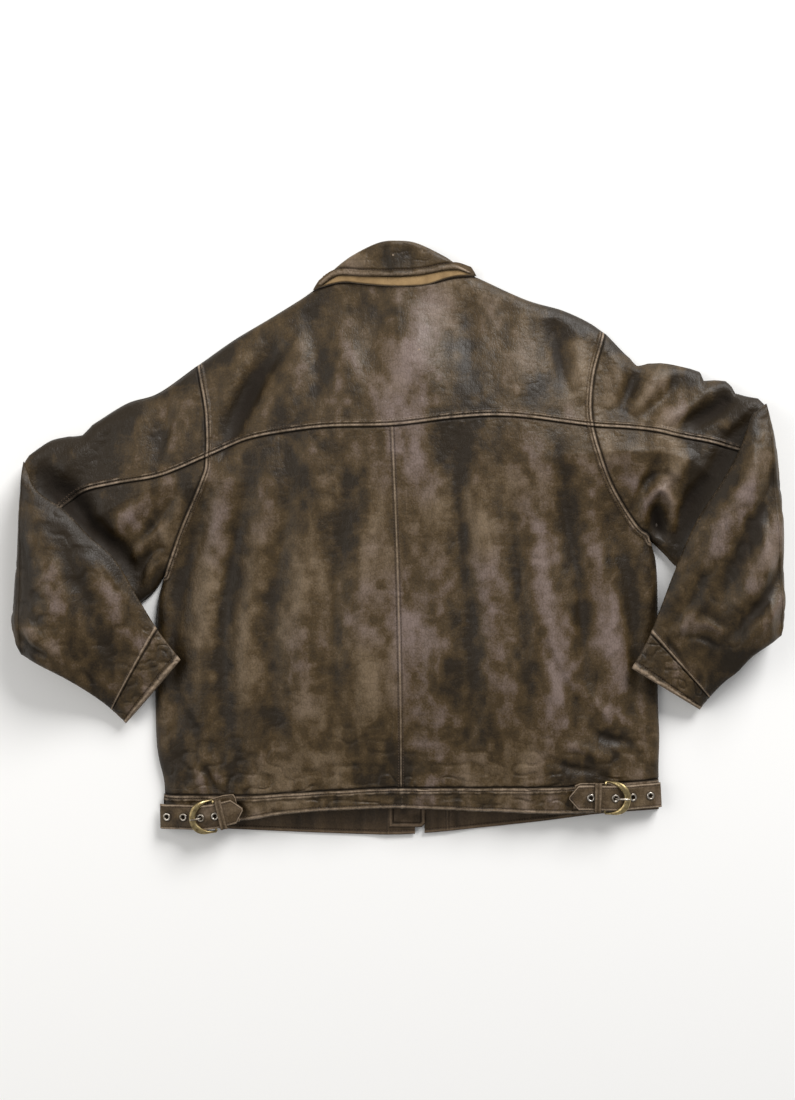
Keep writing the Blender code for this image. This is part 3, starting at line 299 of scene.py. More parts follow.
def ragged(points, side):
    """Moves the sleeve's top edge in and out where its folds reach the outline."""
    curve = SLEEVE_TOP[side]
    d, share, _ = nearest(points[..., :2], curve, 60)
    bump = np.interp(share, [p[0] for p in RAGGED[side]], [p[1] for p in RAGGED[side]])
    run = curve(np.minimum(share + 0.02, 1)) - curve(np.maximum(share - 0.02, 0))
    run = run / np.linalg.norm(run, axis=-1, keepdims=True)
    out = np.stack([-run[..., 1], run[..., 0]], -1) * side
    moved = points.copy()
    moved[..., :2] += out * (bump * (1 - ease(d / 0.028)))[..., None]
    return moved


def corner_lift(points):
    """How far the sleeve's edges stand off the floor at the two ends of the elbow's fold."""
    lift = np.zeros(points.shape[:-1])
    for side in (-1, 1):
        for corner in (SLEEVE_TOP[side](1), SLEEVE_LOW[side](1)):
            lift = lift + 0.010 * bell(np.linalg.norm(points[..., :2] - corner, axis=-1), 0.030)
    return lift


def back_height(points, d=None):
    """The outside of the jacket's upper layer, before its folds."""
    d = distance_to(points, EDGES) if d is None else d
    arm = arm_share(points)
    body = EDGE_ROUND * crown(d, EDGE_RADIUS) + BELLY * ease(d / BELLY_REACH) * belly_share(points)
    return EDGE_TOP + ARM_EDGE * arm + (1 - arm) * body + arm * ARM_RISE * crown(d,
                                                                                 ARM_RADIUS) + corner_lift(points)


def front_height(points, d=None):
    """The outside of the jacket's lower layer: flat, raised by the zip and at the elbows' edges."""
    d = distance_to(points, EDGES) if d is None else d
    arm = arm_share(points)
    zip_share = 1 - ease((np.abs(points[..., 0] - ZIP_X) - ZIP_FLAT) / ZIP_SLOPE)
    return ZIP_RAISE * zip_share + (ARM_EDGE * arm + corner_lift(points)) * (1 - crown(d,
                                                                                       EDGE_RADIUS + 0.03 * arm))


# ---------------------------------------------------------------- folds of the leather, (line, width, height, steep)
BACK_FOLDS = [
    # the long fold from the left of the collar to the left end of the yoke seam
    ([(-0.150, 0.262), (-0.183, 0.212), (-0.206, 0.166), (-0.222, 0.128), (-0.233, 0.100)], 0.019, -0.0098,
     0.5),
    ([(-0.176, 0.262), (-0.210, 0.215), (-0.228, 0.175), (-0.240, 0.130)], 0.017, 0.0040, 0),
    ([(-0.110, 0.290), (-0.132, 0.240), (-0.150, 0.185), (-0.163, 0.140)], 0.022, 0.0048, 0),
    ([(-0.125, 0.305), (-0.110, 0.255), (-0.104, 0.200), (-0.102, 0.160)], 0.015, -0.0030, 0),
    ([(-0.070, 0.300), (-0.072, 0.240), (-0.062, 0.175)], 0.020, 0.0022, 0),
    ([(-0.020, 0.315), (-0.030, 0.250), (-0.020, 0.190)], 0.016, -0.0020, 0),
    ([(0.040, 0.310), (0.028, 0.250), (0.030, 0.185)], 0.022, 0.0024, 0),
    ([(0.095, 0.315), (0.090, 0.260), (0.100, 0.190)], 0.015, -0.0022, 0),
    ([(0.160, 0.300), (0.150, 0.240), (0.158, 0.185)], 0.022, 0.0030, 0),
    ([(0.205, 0.292), (0.212, 0.240), (0.226, 0.185)], 0.014, -0.0046, 0.4),
    ([(0.232, 0.280), (0.238, 0.230), (0.244, 0.175)], 0.013, 0.0026, 0),
    # long soft folds down the lower back
    ([(-0.242, 0.080), (-0.262, 0.010), (-0.285, -0.060), (-0.296, -0.160), (-0.290, -0.260)], 0.013,
     -0.0040, 0.4),
    ([(-0.222, 0.100), (-0.236, 0.020), (-0.252, -0.080), (-0.262, -0.190), (-0.256, -0.300)], 0.017,
     0.0040, 0),
    ([(-0.190, 0.110), (-0.205, 0.030), (-0.224, -0.070), (-0.232, -0.180), (-0.226, -0.290)], 0.013,
     -0.0038, -0.4),
    ([(-0.168, 0.120), (-0.178, 0.020), (-0.196, -0.090), (-0.200, -0.200), (-0.190, -0.315)], 0.018,
     0.0040, 0),
    ([(-0.140, 0.120), (-0.145, 0.030), (-0.160, -0.080), (-0.162, -0.200), (-0.150, -0.310)], 0.012,
     -0.0030, 0.3),
    ([(-0.105, 0.130), (-0.112, 0.020), (-0.124, -0.100), (-0.122, -0.220), (-0.108, -0.315)], 0.019,
     0.0036, 0),
    ([(-0.070, 0.125), (-0.076, 0.010), (-0.084, -0.110), (-0.080, -0.230), (-0.066, -0.315)], 0.012,
     -0.0026, 0),
    ([(-0.035, 0.120), (-0.040, 0.000), (-0.046, -0.120), (-0.040, -0.240), (-0.032, -0.315)], 0.016,
     0.0024, 0),
    ([(0.040, 0.135), (0.046, 0.010), (0.052, -0.110), (0.050, -0.230), (0.046, -0.315)], 0.016, 0.0026, 0),
    ([(0.074, 0.140), (0.080, 0.020), (0.092, -0.100), (0.096, -0.220), (0.088, -0.310)], 0.012, -0.0034,
     -0.4),
    ([(0.104, 0.140), (0.110, 0.020), (0.122, -0.090), (0.130, -0.200), (0.126, -0.310)], 0.018, 0.0042, 0),
    ([(0.136, 0.140), (0.145, 0.030), (0.160, -0.080), (0.168, -0.190), (0.162, -0.300)], 0.012, -0.0036,
     0.4),
    ([(0.172, 0.140), (0.182, 0.030), (0.198, -0.070), (0.206, -0.180), (0.204, -0.290)], 0.018, 0.0040, 0),
    ([(0.210, 0.135), (0.220, 0.040), (0.238, -0.060), (0.246, -0.160), (0.244, -0.250)], 0.012, -0.0040,
     -0.4),
    ([(0.240, 0.110), (0.254, 0.020), (0.274, -0.060), (0.284, -0.160), (0.280, -0.260)], 0.017, 0.0042, 0),
    ([(0.290, 0.020), (0.306, -0.060), (0.314, -0.160), (0.308, -0.260)], 0.012, -0.0036, 0.3),
    # short diagonal creases across the back
    ([(0.185, -0.125), (0.215, -0.185), (0.250, -0.235)], 0.010, -0.0024, 0.5),
    ([(0.235, -0.180), (0.262, -0.220), (0.290, -0.245)], 0.008, 0.0022, 0),
    ([(0.245, -0.245), (0.275, -0.262), (0.315, -0.268)], 0.008, -0.0030, 0.5),
    ([(0.215, -0.262), (0.245, -0.278), (0.285, -0.290)], 0.008, 0.0026, 0),
    ([(0.190, -0.285), (0.230, -0.300), (0.270, -0.305)], 0.007, -0.0024, 0.5),
    ([(-0.290, -0.215), (-0.262, -0.255), (-0.238, -0.300)], 0.009, -0.0022, 0.4),
    ([(-0.256, -0.300), (-0.243, -0.325), (-0.238, -0.345)], 0.006, -0.0036, 0.3),
    ([(-0.275, -0.285), (-0.262, -0.315), (-0.262, -0.340)], 0.007, 0.0024, 0),
]
SLEEVE_FOLDS = [
    # left upper sleeve
    ([(-0.272, 0.205), (-0.284, 0.155), (-0.296, 0.100)], 0.013, 0.0030, 0),
    ([(-0.296, 0.190), (-0.306, 0.140), (-0.318, 0.095)], 0.010, -0.0034, 0.4),
    ([(-0.330, 0.172), (-0.345, 0.125), (-0.352, 0.085)], 0.014, 0.0030, 0),
    ([(-0.372, 0.150), (-0.392, 0.110), (-0.402, 0.070)], 0.012, -0.0030, 0),
    ([(-0.408, 0.128), (-0.436, 0.095), (-0.455, 0.058)], 0.013, 0.0026, 0),
    ([(-0.268, 0.078), (-0.290, 0.030), (-0.310, -0.020)], 0.011, 0.0034, 0),
    ([(-0.290, 0.060), (-0.318, 0.020), (-0.350, -0.020)], 0.009, -0.0034, 0.4),
    ([(-0.300, 0.020), (-0.330, -0.002), (-0.352, -0.030)], 0.007, 0.0034, 0),
    ([(-0.306, -0.008), (-0.326, -0.020), (-0.342, -0.048)], 0.006, -0.0036, 0.5),
    ([(-0.311, -0.030), (-0.326, -0.044), (-0.336, -0.066)], 0.005, 0.0028, 0),
    ([(-0.318, 0.058), (-0.352, 0.030), (-0.378, 0.000)], 0.010, 0.0030, 0),
    ([(-0.302, -0.012), (-0.312, 0.010), (-0.330, 0.040)], 0.005, 0.0020, 0),
    # the hollow beside the left forearm's inner edge
    ([(-0.474, 0.104), (-0.449, 0.077), (-0.421, 0.055), (-0.396, 0.032)], 0.016, -0.0085, 0),
    ([(-0.478, 0.090), (-0.458, 0.064), (-0.424, 0.040), (-0.393, 0.008), (-0.361, -0.024),
      (-0.330, -0.078)], 0.015, -0.0110, 0),
    # right upper sleeve: broad ridges running down from the top edge
    ([(0.296, 0.245), (0.288, 0.205), (0.274, 0.170)], 0.012, 0.0034, 0),
    ([(0.318, 0.232), (0.306, 0.198), (0.290, 0.164)], 0.010, -0.0044, 0.4),
    ([(0.342, 0.228), (0.330, 0.196), (0.306, 0.164)], 0.014, 0.0054, 0.3),
    ([(0.378, 0.222), (0.350, 0.186), (0.322, 0.160)], 0.010, -0.0046, 0),
    ([(0.412, 0.208), (0.388, 0.178), (0.356, 0.158), (0.336, 0.140)], 0.013, 0.0060, 0.3),
    ([(0.446, 0.206), (0.428, 0.178), (0.400, 0.158), (0.376, 0.146)], 0.012, -0.0100, 0.4),
    ([(0.466, 0.172), (0.442, 0.140), (0.418, 0.092), (0.382, 0.030), (0.358, -0.034)], 0.013, -0.0080, 0),
    ([(0.464, 0.182), (0.448, 0.160), (0.424, 0.140)], 0.009, 0.0040, 0),
    ([(0.300, 0.128), (0.312, 0.080), (0.300, 0.040)], 0.013, 0.0036, 0),
    ([(0.352, 0.128), (0.336, 0.092), (0.322, 0.060)], 0.009, -0.0030, 0),
    ([(0.386, 0.116), (0.362, 0.082), (0.340, 0.062)], 0.010, 0.0040, 0),
    ([(0.402, 0.086), (0.382, 0.052), (0.366, 0.020)], 0.010, -0.0034, 0.3),
    # the arch of crumpled leather over the right armpit
    ([(0.322, 0.010), (0.326, 0.045), (0.342, 0.064), (0.358, 0.048), (0.362, 0.008)], 0.008, 0.0066, 0.2),
    ([(0.341, 0.048), (0.342, 0.022), (0.347, -0.010)], 0.010, -0.0105, 0),
    ([(0.312, 0.040), (0.322, 0.072), (0.346, 0.086), (0.366, 0.070)], 0.006, -0.0030, 0),
]
FOREARM_FOLDS = {
    -1: [
        ([(-0.466, 0.052), (-0.452, -0.020), (-0.430, -0.090), (-0.402, -0.150)], 0.020, 0.0040, 0),
        ([(-0.440, 0.020), (-0.420, -0.040), (-0.396, -0.100), (-0.376, -0.150)], 0.013, -0.0038, 0.3),
        ([(-0.412, 0.002), (-0.388, -0.050), (-0.362, -0.100), (-0.340, -0.140)], 0.012, 0.0036, 0),
        ([(-0.480, 0.000), (-0.474, -0.060), (-0.460, -0.120)], 0.013, -0.0036, 0),
        ([(-0.486, -0.090), (-0.470, -0.122), (-0.440, -0.150), (-0.420, -0.180)], 0.011, 0.0036, 0),
        ([(-0.488, -0.118), (-0.474, -0.138), (-0.452, -0.152)], 0.006, -0.0046, 0.5),
        ([(-0.410, -0.165), (-0.400, -0.185), (-0.396, -0.205)], 0.005, -0.0030, 0.4),
        ([(-0.396, -0.120), (-0.372, -0.150), (-0.352, -0.165)], 0.010, -0.0022, 0),
        ([(-0.384, -0.025), (-0.362, -0.060), (-0.340, -0.092)], 0.005, 0.0022, 0),
    ],
    1: [
        ([(0.474, 0.140), (0.452, 0.080), (0.420, 0.010), (0.396, -0.050)], 0.014, 0.0048, 0),
        ([(0.492, 0.100), (0.470, 0.040), (0.440, -0.030), (0.410, -0.085)], 0.014, -0.0052, 0.3),
        ([(0.498, 0.050), (0.484, 0.000), (0.458, -0.060), (0.420, -0.110)], 0.015, 0.0054, 0),
        ([(0.500, -0.010), (0.482, -0.060), (0.450, -0.105), (0.424, -0.130)], 0.011, -0.0046, 0.4),
        ([(0.500, -0.060), (0.482, -0.096), (0.456, -0.122), (0.436, -0.150)], 0.010, 0.0040, 0),
        ([(0.404, -0.020), (0.384, -0.075), (0.362, -0.110)], 0.010, -0.0034, 0),
        ([(0.388, -0.080), (0.372, -0.112), (0.350, -0.128)], 0.007, 0.0034, 0),
        ([(0.372, -0.128), (0.394, -0.128), (0.420, -0.142)], 0.006, -0.0032, 0.5),
        ([(0.378, -0.112), (0.402, -0.112), (0.428, -0.126)], 0.006, 0.0030, 0),
        ([(0.345, -0.128), (0.362, -0.146), (0.380, -0.180)], 0.005, -0.0024, 0.4),
        ([(0.390, -0.160), (0.400, -0.182), (0.398, -0.204)], 0.005, 0.0024, 0),
    ],
}


def back_folds(points, d):
    """Folds, soft waves and wrinkles of the back and the upper sleeves."""
    fade = ease(d / 0.022)
    body = 1.45 * folded(points, BACK_FOLDS) + 1.25 * folded(points, SLEEVE_FOLDS)
    soft = 0.0020 * noise(points, 0.035, 0.16, 3) + 0.0008 * noise(points, 0.020, 0.06, 9)
    low = ease((-0.20 - points[..., 1]) / 0.12)
    wrinkled = 0.0014 * (crumple(points, 0.016, 21) - 0.5) * (0.25 + low)
    rough = 0.00036 * (crumple(points, 0.0065, 31) - 0.5)
    return (body + soft + wrinkled) * fade + rough * ease(d / 0.006)


def hem_puckers(points):
    """Short upright gathers above and below the waistband's seam."""
    x = points[..., 0]
    across = np.stack([x, points[..., 1] * 0.15], -1)
    return 0.0011 * noise(across, 0.0085, 0.02, 41) + 0.0008 * noise(across, 0.0048, 0.02, 42)


# ---------------------------------------------------------------- materials
def tree(name, roughness, metallic=0.0):
    made = bpy.data.materials.new(name)
    made.use_nodes = True
    shader = made.node_tree.nodes["Principled BSDF"]
    shader.inputs["Roughness"].default_value = roughness
    shader.inputs["Metallic"].default_value = metallic
    return made, made.node_tree, shader


def node(nodes, kind, **values):
    made = nodes.nodes.new(kind)
    for key, value in values.items():
        if key in made.inputs:
            made.inputs[key].default_value = value
        else:
            setattr(made, key, value)
    return made


def maths(nodes, operation, a, b, clamp=False):
    made = node(nodes, "ShaderNodeMath", operation=operation, use_clamp=clamp)
    for slot, value in zip(made.inputs, (a, b)):
        if isinstance(value, (int, float)):
            slot.default_value = value
        else:
            nodes.links.new(value, slot)
    return made.outputs[0]


def mix(nodes, share, a, b, blend="MIX"):
    made = node(nodes, "ShaderNodeMix", data_type="RGBA", blend_type=blend)
    for slot, value in zip((made.inputs[0], made.inputs[6], made.inputs[7]), (share, a, b)):
        if isinstance(value, (int, float)):
            slot.default_value = value
        elif isinstance(value, tuple):
            slot.default_value = (*value, 1)
        else:
            nodes.links.new(value, slot)
    return made.outputs[2]


def spread_out(nodes, value, low, high, out_low=0.0, out_high=1.0):
    made = node(nodes, "ShaderNodeMapRange")
    nodes.links.new(value, made.inputs["Value"])
    for key, amount in zip(("From Min", "From Max", "To Min", "To Max"), (low, high, out_low, out_high)):
        made.inputs[key].default_value = amount
    return made.outputs[0]


def stretched(nodes, scale):
    coords = node(nodes, "ShaderNodeTexCoord")
    mapping = node(nodes, "ShaderNodeMapping")
    mapping.inputs["Scale"].default_value = scale
    nodes.links.new(coords.outputs["Object"], mapping.inputs["Vector"])
    return mapping.outputs[0]


def noise_node(nodes, vector, scale, detail=4.0, roughness=0.55):
    made = node(nodes, "ShaderNodeTexNoise", Scale=scale, Detail=detail, Roughness=roughness)
    nodes.links.new(vector, made.inputs["Vector"])
    return made.outputs["Fac"]


def cells_node(nodes, vector, scale, feature):
    made = node(nodes, "ShaderNodeTexVoronoi", feature=feature, Scale=scale)
    nodes.links.new(vector, made.inputs["Vector"])
    return made.outputs["Distance"]


def attribute(nodes, name):
    return node(nodes, "ShaderNodeAttribute", attribute_name=name).outputs["Fac"]


def bumps(nodes, shader, layers):
    """Bump nodes one on another: (height, strength, depth in metres)."""
    before = None
    for height, strength, depth in layers:
        made = node(nodes, "ShaderNodeBump", Strength=strength, Distance=depth)
        nodes.links.new(height, made.inputs["Height"])
        if before:
            nodes.links.new(before, made.inputs["Normal"])
        before = made.outputs[0]
    nodes.links.new(before, shader.inputs["Normal"])


def leather(name, dark, mid, bloom_and_sheen, worn, gloss=0.43):
    """Worn leather: brown mottled with a grey bloom that also carries painted sheen on the ridges, pale where it rubs,
    with painted shade dark in the folds and seams. The meshes carry tone (from painted shade to bloom and painted
    sheen), wear, and dark seam lines with painted shade."""
    made, nodes, shader = tree(name, gloss)
    plain = stretched(nodes, (1, 1, 1))
    drawn = stretched(nodes, (1, 0.45, 1))
    cloud = noise_node(nodes, drawn, 16.0, 5.0, 0.6)
    blotch = noise_node(nodes, drawn, 46.0, 5.0, 0.62)
    speck = noise_node(nodes, plain, 420.0, 4.0, 0.7)
    tone = maths(nodes, "ADD", attribute(nodes, "tone"),
                 maths(nodes, "MULTIPLY", maths(nodes, "SUBTRACT", cloud, 0.5), 1.15))
    tone = maths(nodes, "ADD", tone, maths(nodes, "MULTIPLY", maths(nodes, "SUBTRACT", blotch, 0.5), 0.75))
    tone = maths(nodes, "ADD", tone, maths(nodes, "MULTIPLY", maths(nodes, "SUBTRACT", speck, 0.5), 0.8))
    colour = mix(nodes, spread_out(nodes, tone, 0.04, 0.54), dark, mid)
    patches = noise_node(nodes, plain, 5.5, 2.0)
    olive = tuple(v * share for v, share in zip(bloom_and_sheen, (0.90, 0.86, 0.60)))
    pale = mix(nodes, spread_out(nodes, patches, 0.42, 0.56), olive, bloom_and_sheen)
    # High tone turns to the bloom colour: the leather's own grey bloom in broad patches, and painted sheen on the
    # ridges.
    colour = mix(nodes, spread_out(nodes, tone, 0.50, 1.05), colour, pale)
    scuff = noise_node(nodes, stretched(nodes, (1, 0.7, 1)), 95.0, 6.0, 0.75)
    rubbed = maths(nodes, "ADD", attribute(nodes, "wear"),
                   maths(nodes, "MULTIPLY", maths(nodes, "SUBTRACT", scuff, 0.5), 0.9))
    rubbed = maths(nodes, "ADD", rubbed, maths(nodes, "MULTIPLY", maths(nodes, "SUBTRACT", speck, 0.5), 0.6))
    colour = mix(nodes, spread_out(nodes, rubbed, 0.34, 1.05, 0.0, 0.80), colour, worn)
    grain = cells_node(nodes, plain, 620.0, "F1")
    creases = cells_node(nodes, drawn, 260.0, "DISTANCE_TO_EDGE")
    colour = mix(nodes, spread_out(nodes, creases, 0.0, 0.10, 0.30, 0.0), colour, dark)
    # Near-black painted shade in valleys, grooves, recesses and under turned edges, plus dark seam lines, from the mesh
    # values.
    colour = mix(nodes, maths(nodes, "MULTIPLY", attribute(nodes, "dark_seams_and_shade"), 0.92, True), colour,
                 (0.010, 0.006, 0.003))
    nodes.links.new(colour, shader.inputs["Base Color"])
    rough = spread_out(nodes, maths(nodes, "ADD", blotch,
                                    maths(nodes, "MULTIPLY", attribute(nodes, "wear"), 0.2)), 0.3, 0.8,
                       gloss, gloss + 0.20)
    rough = maths(nodes, "ADD", rough, maths(nodes, "MULTIPLY", attribute(nodes, "dark_seams_and_shade"), 0.45), True)
    nodes.links.new(rough, shader.inputs["Roughness"])
    shader.inputs["Specular IOR Level"].default_value = 0.32
    bumps(nodes, shader, [(spread_out(nodes, creases, 0.0, 0.16), 0.24, 0.0006), (blotch, 0.25, 0.003),
                          (speck, 0.20, 0.0005), (grain, 0.24, 0.0004)])
    return made


def suede(name, colour, dark):
    made, nodes, shader = tree(name, 0.95)
    plain = stretched(nodes, (1, 1, 1))
    patch_noise, nap = noise_node(nodes, plain, 70.0, 5.0, 0.6), noise_node(nodes, plain, 1400.0, 3.0, 0.7)
    mixed = mix(nodes, spread_out(nodes, patch_noise, 0.3, 0.75), colour, dark)
    mixed = mix(nodes, spread_out(nodes, nap, 0.3, 0.7, 0.0, 0.35), mixed, dark)
    # Near-black painted shade (the leaf edge's shadow) and dark seam lines, from the mesh values.
    mixed = mix(nodes, maths(nodes, "MULTIPLY", attribute(nodes, "dark_seams_and_shade"), 0.9, True), mixed,
                (0.02, 0.012, 0.005))
    nodes.links.new(mixed, shader.inputs["Base Color"])
    shader.inputs["Sheen Weight"].default_value = 0.3
    bumps(nodes, shader, [(nap, 0.5, 0.0006)])
    return made


def cloth(name, colour, light, scale=900.0):
    made, nodes, shader = tree(name, 0.62)
    weave = node(nodes, "ShaderNodeTexWave", Scale=scale, Distortion=0.4, bands_direction="DIAGONAL")
    nodes.links.new(stretched(nodes, (1, 1, 1)), weave.inputs["Vector"])
    nodes.links.new(mix(nodes, weave.outputs["Fac"], colour, light), shader.inputs["Base Color"])
    bumps(nodes, shader, [(weave.outputs["Fac"], 0.4, 0.0003)])
    return made


def metal(name, bright, dull, roughness):
    made, nodes, shader = tree(name, roughness, 1.0)
    plain = stretched(nodes, (1, 1, 1))
    tarnish, fine = noise_node(nodes, plain, 160.0, 5.0, 0.65), noise_node(nodes, plain, 900.0, 3.0, 0.6)
    nodes.links.new(mix(nodes, spread_out(nodes, tarnish, 0.38, 0.66), bright, dull),
                    shader.inputs["Base Color"])
    nodes.links.new(spread_out(nodes, tarnish, 0.3, 0.7, roughness - 0.08, roughness + 0.2),
                    shader.inputs["Roughness"])
    bumps(nodes, shader, [(fine, 0.25, 0.0003)])
    return made


LEATHER = leather("worn_brown_leather", (0.0150, 0.0084, 0.0018), (0.064, 0.0390, 0.0135),
                  (0.172, 0.127, 0.108), (0.320, 0.240, 0.168))
EDGE_LEATHER = leather("edge_leather", (0.018, 0.010, 0.003), (0.070, 0.044, 0.019), (0.155, 0.113, 0.085),
                       (0.31, 0.235, 0.165), 0.5)
INNER_LEATHER = leather("inner_leather", (0.024, 0.014, 0.005), (0.066, 0.041, 0.020),
                        (0.120, 0.082, 0.054), (0.19, 0.130, 0.080), 0.5)
SUEDE = suede("tan_suede", (0.36, 0.235, 0.105), (0.19, 0.115, 0.045))
LINING = cloth("lining_cloth", (0.050, 0.036, 0.026), (0.080, 0.060, 0.044))
TAPE = cloth("zip_tape_cloth", (0.020, 0.016, 0.013), (0.040, 0.032, 0.026), 1500.0)
BRASS = metal("antique_brass", (0.50, 0.40, 0.20), (0.16, 0.115, 0.055), 0.30)
NICKEL = metal("worn_nickel", (0.62, 0.58, 0.52), (0.22, 0.18, 0.13), 0.28)
THREAD = tree("thread", 0.8)[0]
THREAD.node_tree.nodes["Principled BSDF"].inputs["Base Color"].default_value = (0.075, 0.046, 0.026, 1)


# ---------------------------------------------------------------- meshes
def mesh_object(name, points, faces, finish, body=None, values=None):
    mesh = bpy.data.meshes.new(name)
    points[:, 2] = np.maximum(points[:, 2], 0.0)
    mesh.from_pydata(points.tolist(), [], faces.tolist())
    mesh.shade_smooth()
    for key in ("tone", "wear", "dark_seams_and_shade"):
        layer = mesh.attributes.new(key, "FLOAT", "POINT")
        given = (values or {}).get(key)
        amount = np.full(len(points), 0.45 if key == "tone" else 0.0) if given is None else given.reshape(-1)
        layer.data.foreach_set("value", amount.astype(np.float32))
    mesh.materials.append(finish)
    obj = bpy.data.objects.new(name, mesh)
    bpy.context.scene.collection.objects.link(obj)
    if body:
        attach(obj, body)
    return obj


def grid_faces(rows, columns, flip=False, close_rows=False, close_columns=False):
    index = np.arange(rows * columns).reshape(rows, columns)
    if close_rows:
        index = np.vstack([index, index[:1]])
    if close_columns:
        index = np.hstack([index, index[:, :1]])
    quad = [index[:-1, :-1], index[1:, :-1], index[1:, 1:], index[:-1, 1:]]
    faces = np.stack([q.reshape(-1) for q in quad], -1)
    return faces[:, ::-1] if flip else faces


def grid(name, points, finish, body=None, values=None, flip=False, close_rows=False, close_columns=False):
    rows, columns = points.shape[:2]
    faces = grid_faces(rows, columns, flip, close_rows, close_columns)
    return mesh_object(name, points.reshape(-1, 3), faces, finish, body, values)


def steps(length, start=False, end=False, coarse=None, reach=0.011):
    """Shares from 0 to 1 along a length, close together within reach of the marked ends."""
    coarse = coarse or COARSE
    at = [0.0]
    while at[-1] < length:
        near = min(at[-1] if start else 9, length - at[-1] if end else 9)
        at.append(at[-1] + min(coarse, FINE + max(near - reach, 0) * 0.16))
    return np.array(at) / at[-1]


def patch(bottom, top, left, right, u, v):
    u2, v2 = u[:, None, None], v[None, :, None]
    across = (1 - v2) * bottom(u)[:, None] + v2 * top(u)[:, None]
    along = (1 - u2) * left(v)[None] + u2 * right(v)[None]
    corners = (1 - u2) * ((1 - v2) * bottom(0) + v2 * top(0)) + u2 * ((1 - v2) * bottom(1) + v2 * top(1))
    return across + along - corners


def lifted(plan, height):
    return np.concatenate([plan, height[..., None]], axis=-1)


def skirt(points, values, side, drop, out=0.0006, to_z=None):
    """Turns one border of a grid down: side is first, last, low or high."""
    axis = 0 if side in ("first", "last") else 1
    at_start = side in ("first", "low")
    rim = np.take(points, 0 if at_start else -1, axis)
    inner = np.take(points, 2 if at_start else -3, axis)
    way = rim[..., :2] - inner[..., :2]
    way = way / np.maximum(np.linalg.norm(way, axis=-1, keepdims=True), 1e-9)
    rows = []
    for share, reach in ((0.12, 0.65), (0.40, 1.0), (0.75, 0.9), (1.0, 0.3)):
        row = rim.copy()
        row[..., :2] += way * out * reach
        row[..., 2] = (rim[..., 2] - drop * share if to_z is None else rim[..., 2]
                       + (to_z - rim[..., 2]) * share)
        rows.append(row)
    block = np.stack(rows, axis)
    if at_start:
        block = np.flip(block, axis)
    order = [block, points] if at_start else [points, block]
    grown = {}
    for key, value in values.items():
        edge = np.take(value, 0 if at_start else -1, axis)
        edges = np.stack([edge] * 4, axis)
        # Turned-down borders get painted shade.
        if key == "dark_seams_and_shade":
            edges = np.maximum(edges, 0.35)
        grown[key] = np.concatenate([edges, value] if at_start else [value, edges], axis)
    return np.concatenate(order, axis), grown


# ---------------------------------------------------------------- seams
LAP_ROW = 0.0044
LAP_ROW_TWO = 0.0082


def seam_shape(points, seams):
    """Height, wear and dark seam lines with painted shade in their ditches and grooves that seams give a panel. Each
    seam is (curve, kind).
    """
    height = np.zeros(points.shape[:-1])
    wear, dark_seams_and_shade = height.copy(), height.copy()
    for curve, kind in seams:
        low, high = curve.points.min(0) - 0.02, curve.points.max(0) + 0.02
        near = ((points >= low) & (points <= high)).all(-1)
        if not near.any():
            continue
        d, share, _ = nearest(points[near], curve, 90)
        along = np.stack([share * curve.length, d * 0.4], -1)
        gather = noise(along, 0.0042, 0.02, 51) + 0.6 * noise(along, 0.011, 0.02, 52)
        if kind == "lap":
            band = 1 - ease((d - 0.0052) / 0.0050)
            up = 0.0013 * crown(d, 0.0012) * band - 0.0009 * bell(d - LAP_ROW, 0.0007)
            up += ((0.0007 + 0.00045 * gather) * bell(d - 0.0068, 0.0017)
                   + 0.0002 * gather * bell(d - 0.002, 0.002))
            rub = ((0.85 + 0.25 * gather) * bell(d - 0.0024, 0.0015)
                   + (0.42 + 0.30 * gather) * bell(d - 0.0066, 0.0015))
            # black: dark seam line at the lap's edge, and painted shade in the stitch row's groove.
            black = 0.9 * bell(d - LAP_ROW, 0.0006) + 0.95 * bell(d, 0.0008)
        elif kind == "ridge":
            up = 0.0011 * bell(d, 0.0016) + 0.0002 * gather * bell(d, 0.004)
            rub = 0.80 * bell(d, 0.0012)
            # black: painted shade beside the raised seam.
            black = 0.65 * bell(d - 0.0026, 0.0009)
        else:
            up = -0.0014 * bell(d, 0.0017) + 0.0005 * gather * bell(d - 0.005, 0.004)
            rub = 0.15 * bell(d - 0.0045, 0.0022)
            # black: dark seam ditch with painted shade in it.
            black = 1.0 * bell(d, 0.0022)
        height[near] += up
        wear[near] = np.maximum(wear[near], rub)
        dark_seams_and_shade[near] = np.maximum(dark_seams_and_shade[near], black)
    return height, wear, dark_seams_and_shade


def shaded_tone_of(points, folds, d):
    """Tone with painted shading: painted shade in the valleys, near the outline and over the left arm, painted sheen
    bloomed on the ridges, and broad soft patches of the leather's own colour.
    """
    broad = 0.40 + 0.34 * noise(points, 0.085, 0.17, 71) + 0.22 * noise(points, 0.03, 0.06, 72)
    veins = 0.16 * (crumple(points, 0.021, 73) - 0.55) + 0.22 * noise(points, 0.011, 0.015, 74)
    left_arm_shade = ease((-points[..., 0] - 0.33) / 0.07)
    # 70 * folds paints sheen on the ridges and shade in the valleys; the outline and the left arm get painted shade.
    return broad - veins + 70.0 * folds - 0.20 * (1 - ease(d / 0.03)) - 0.24 * left_arm_shade


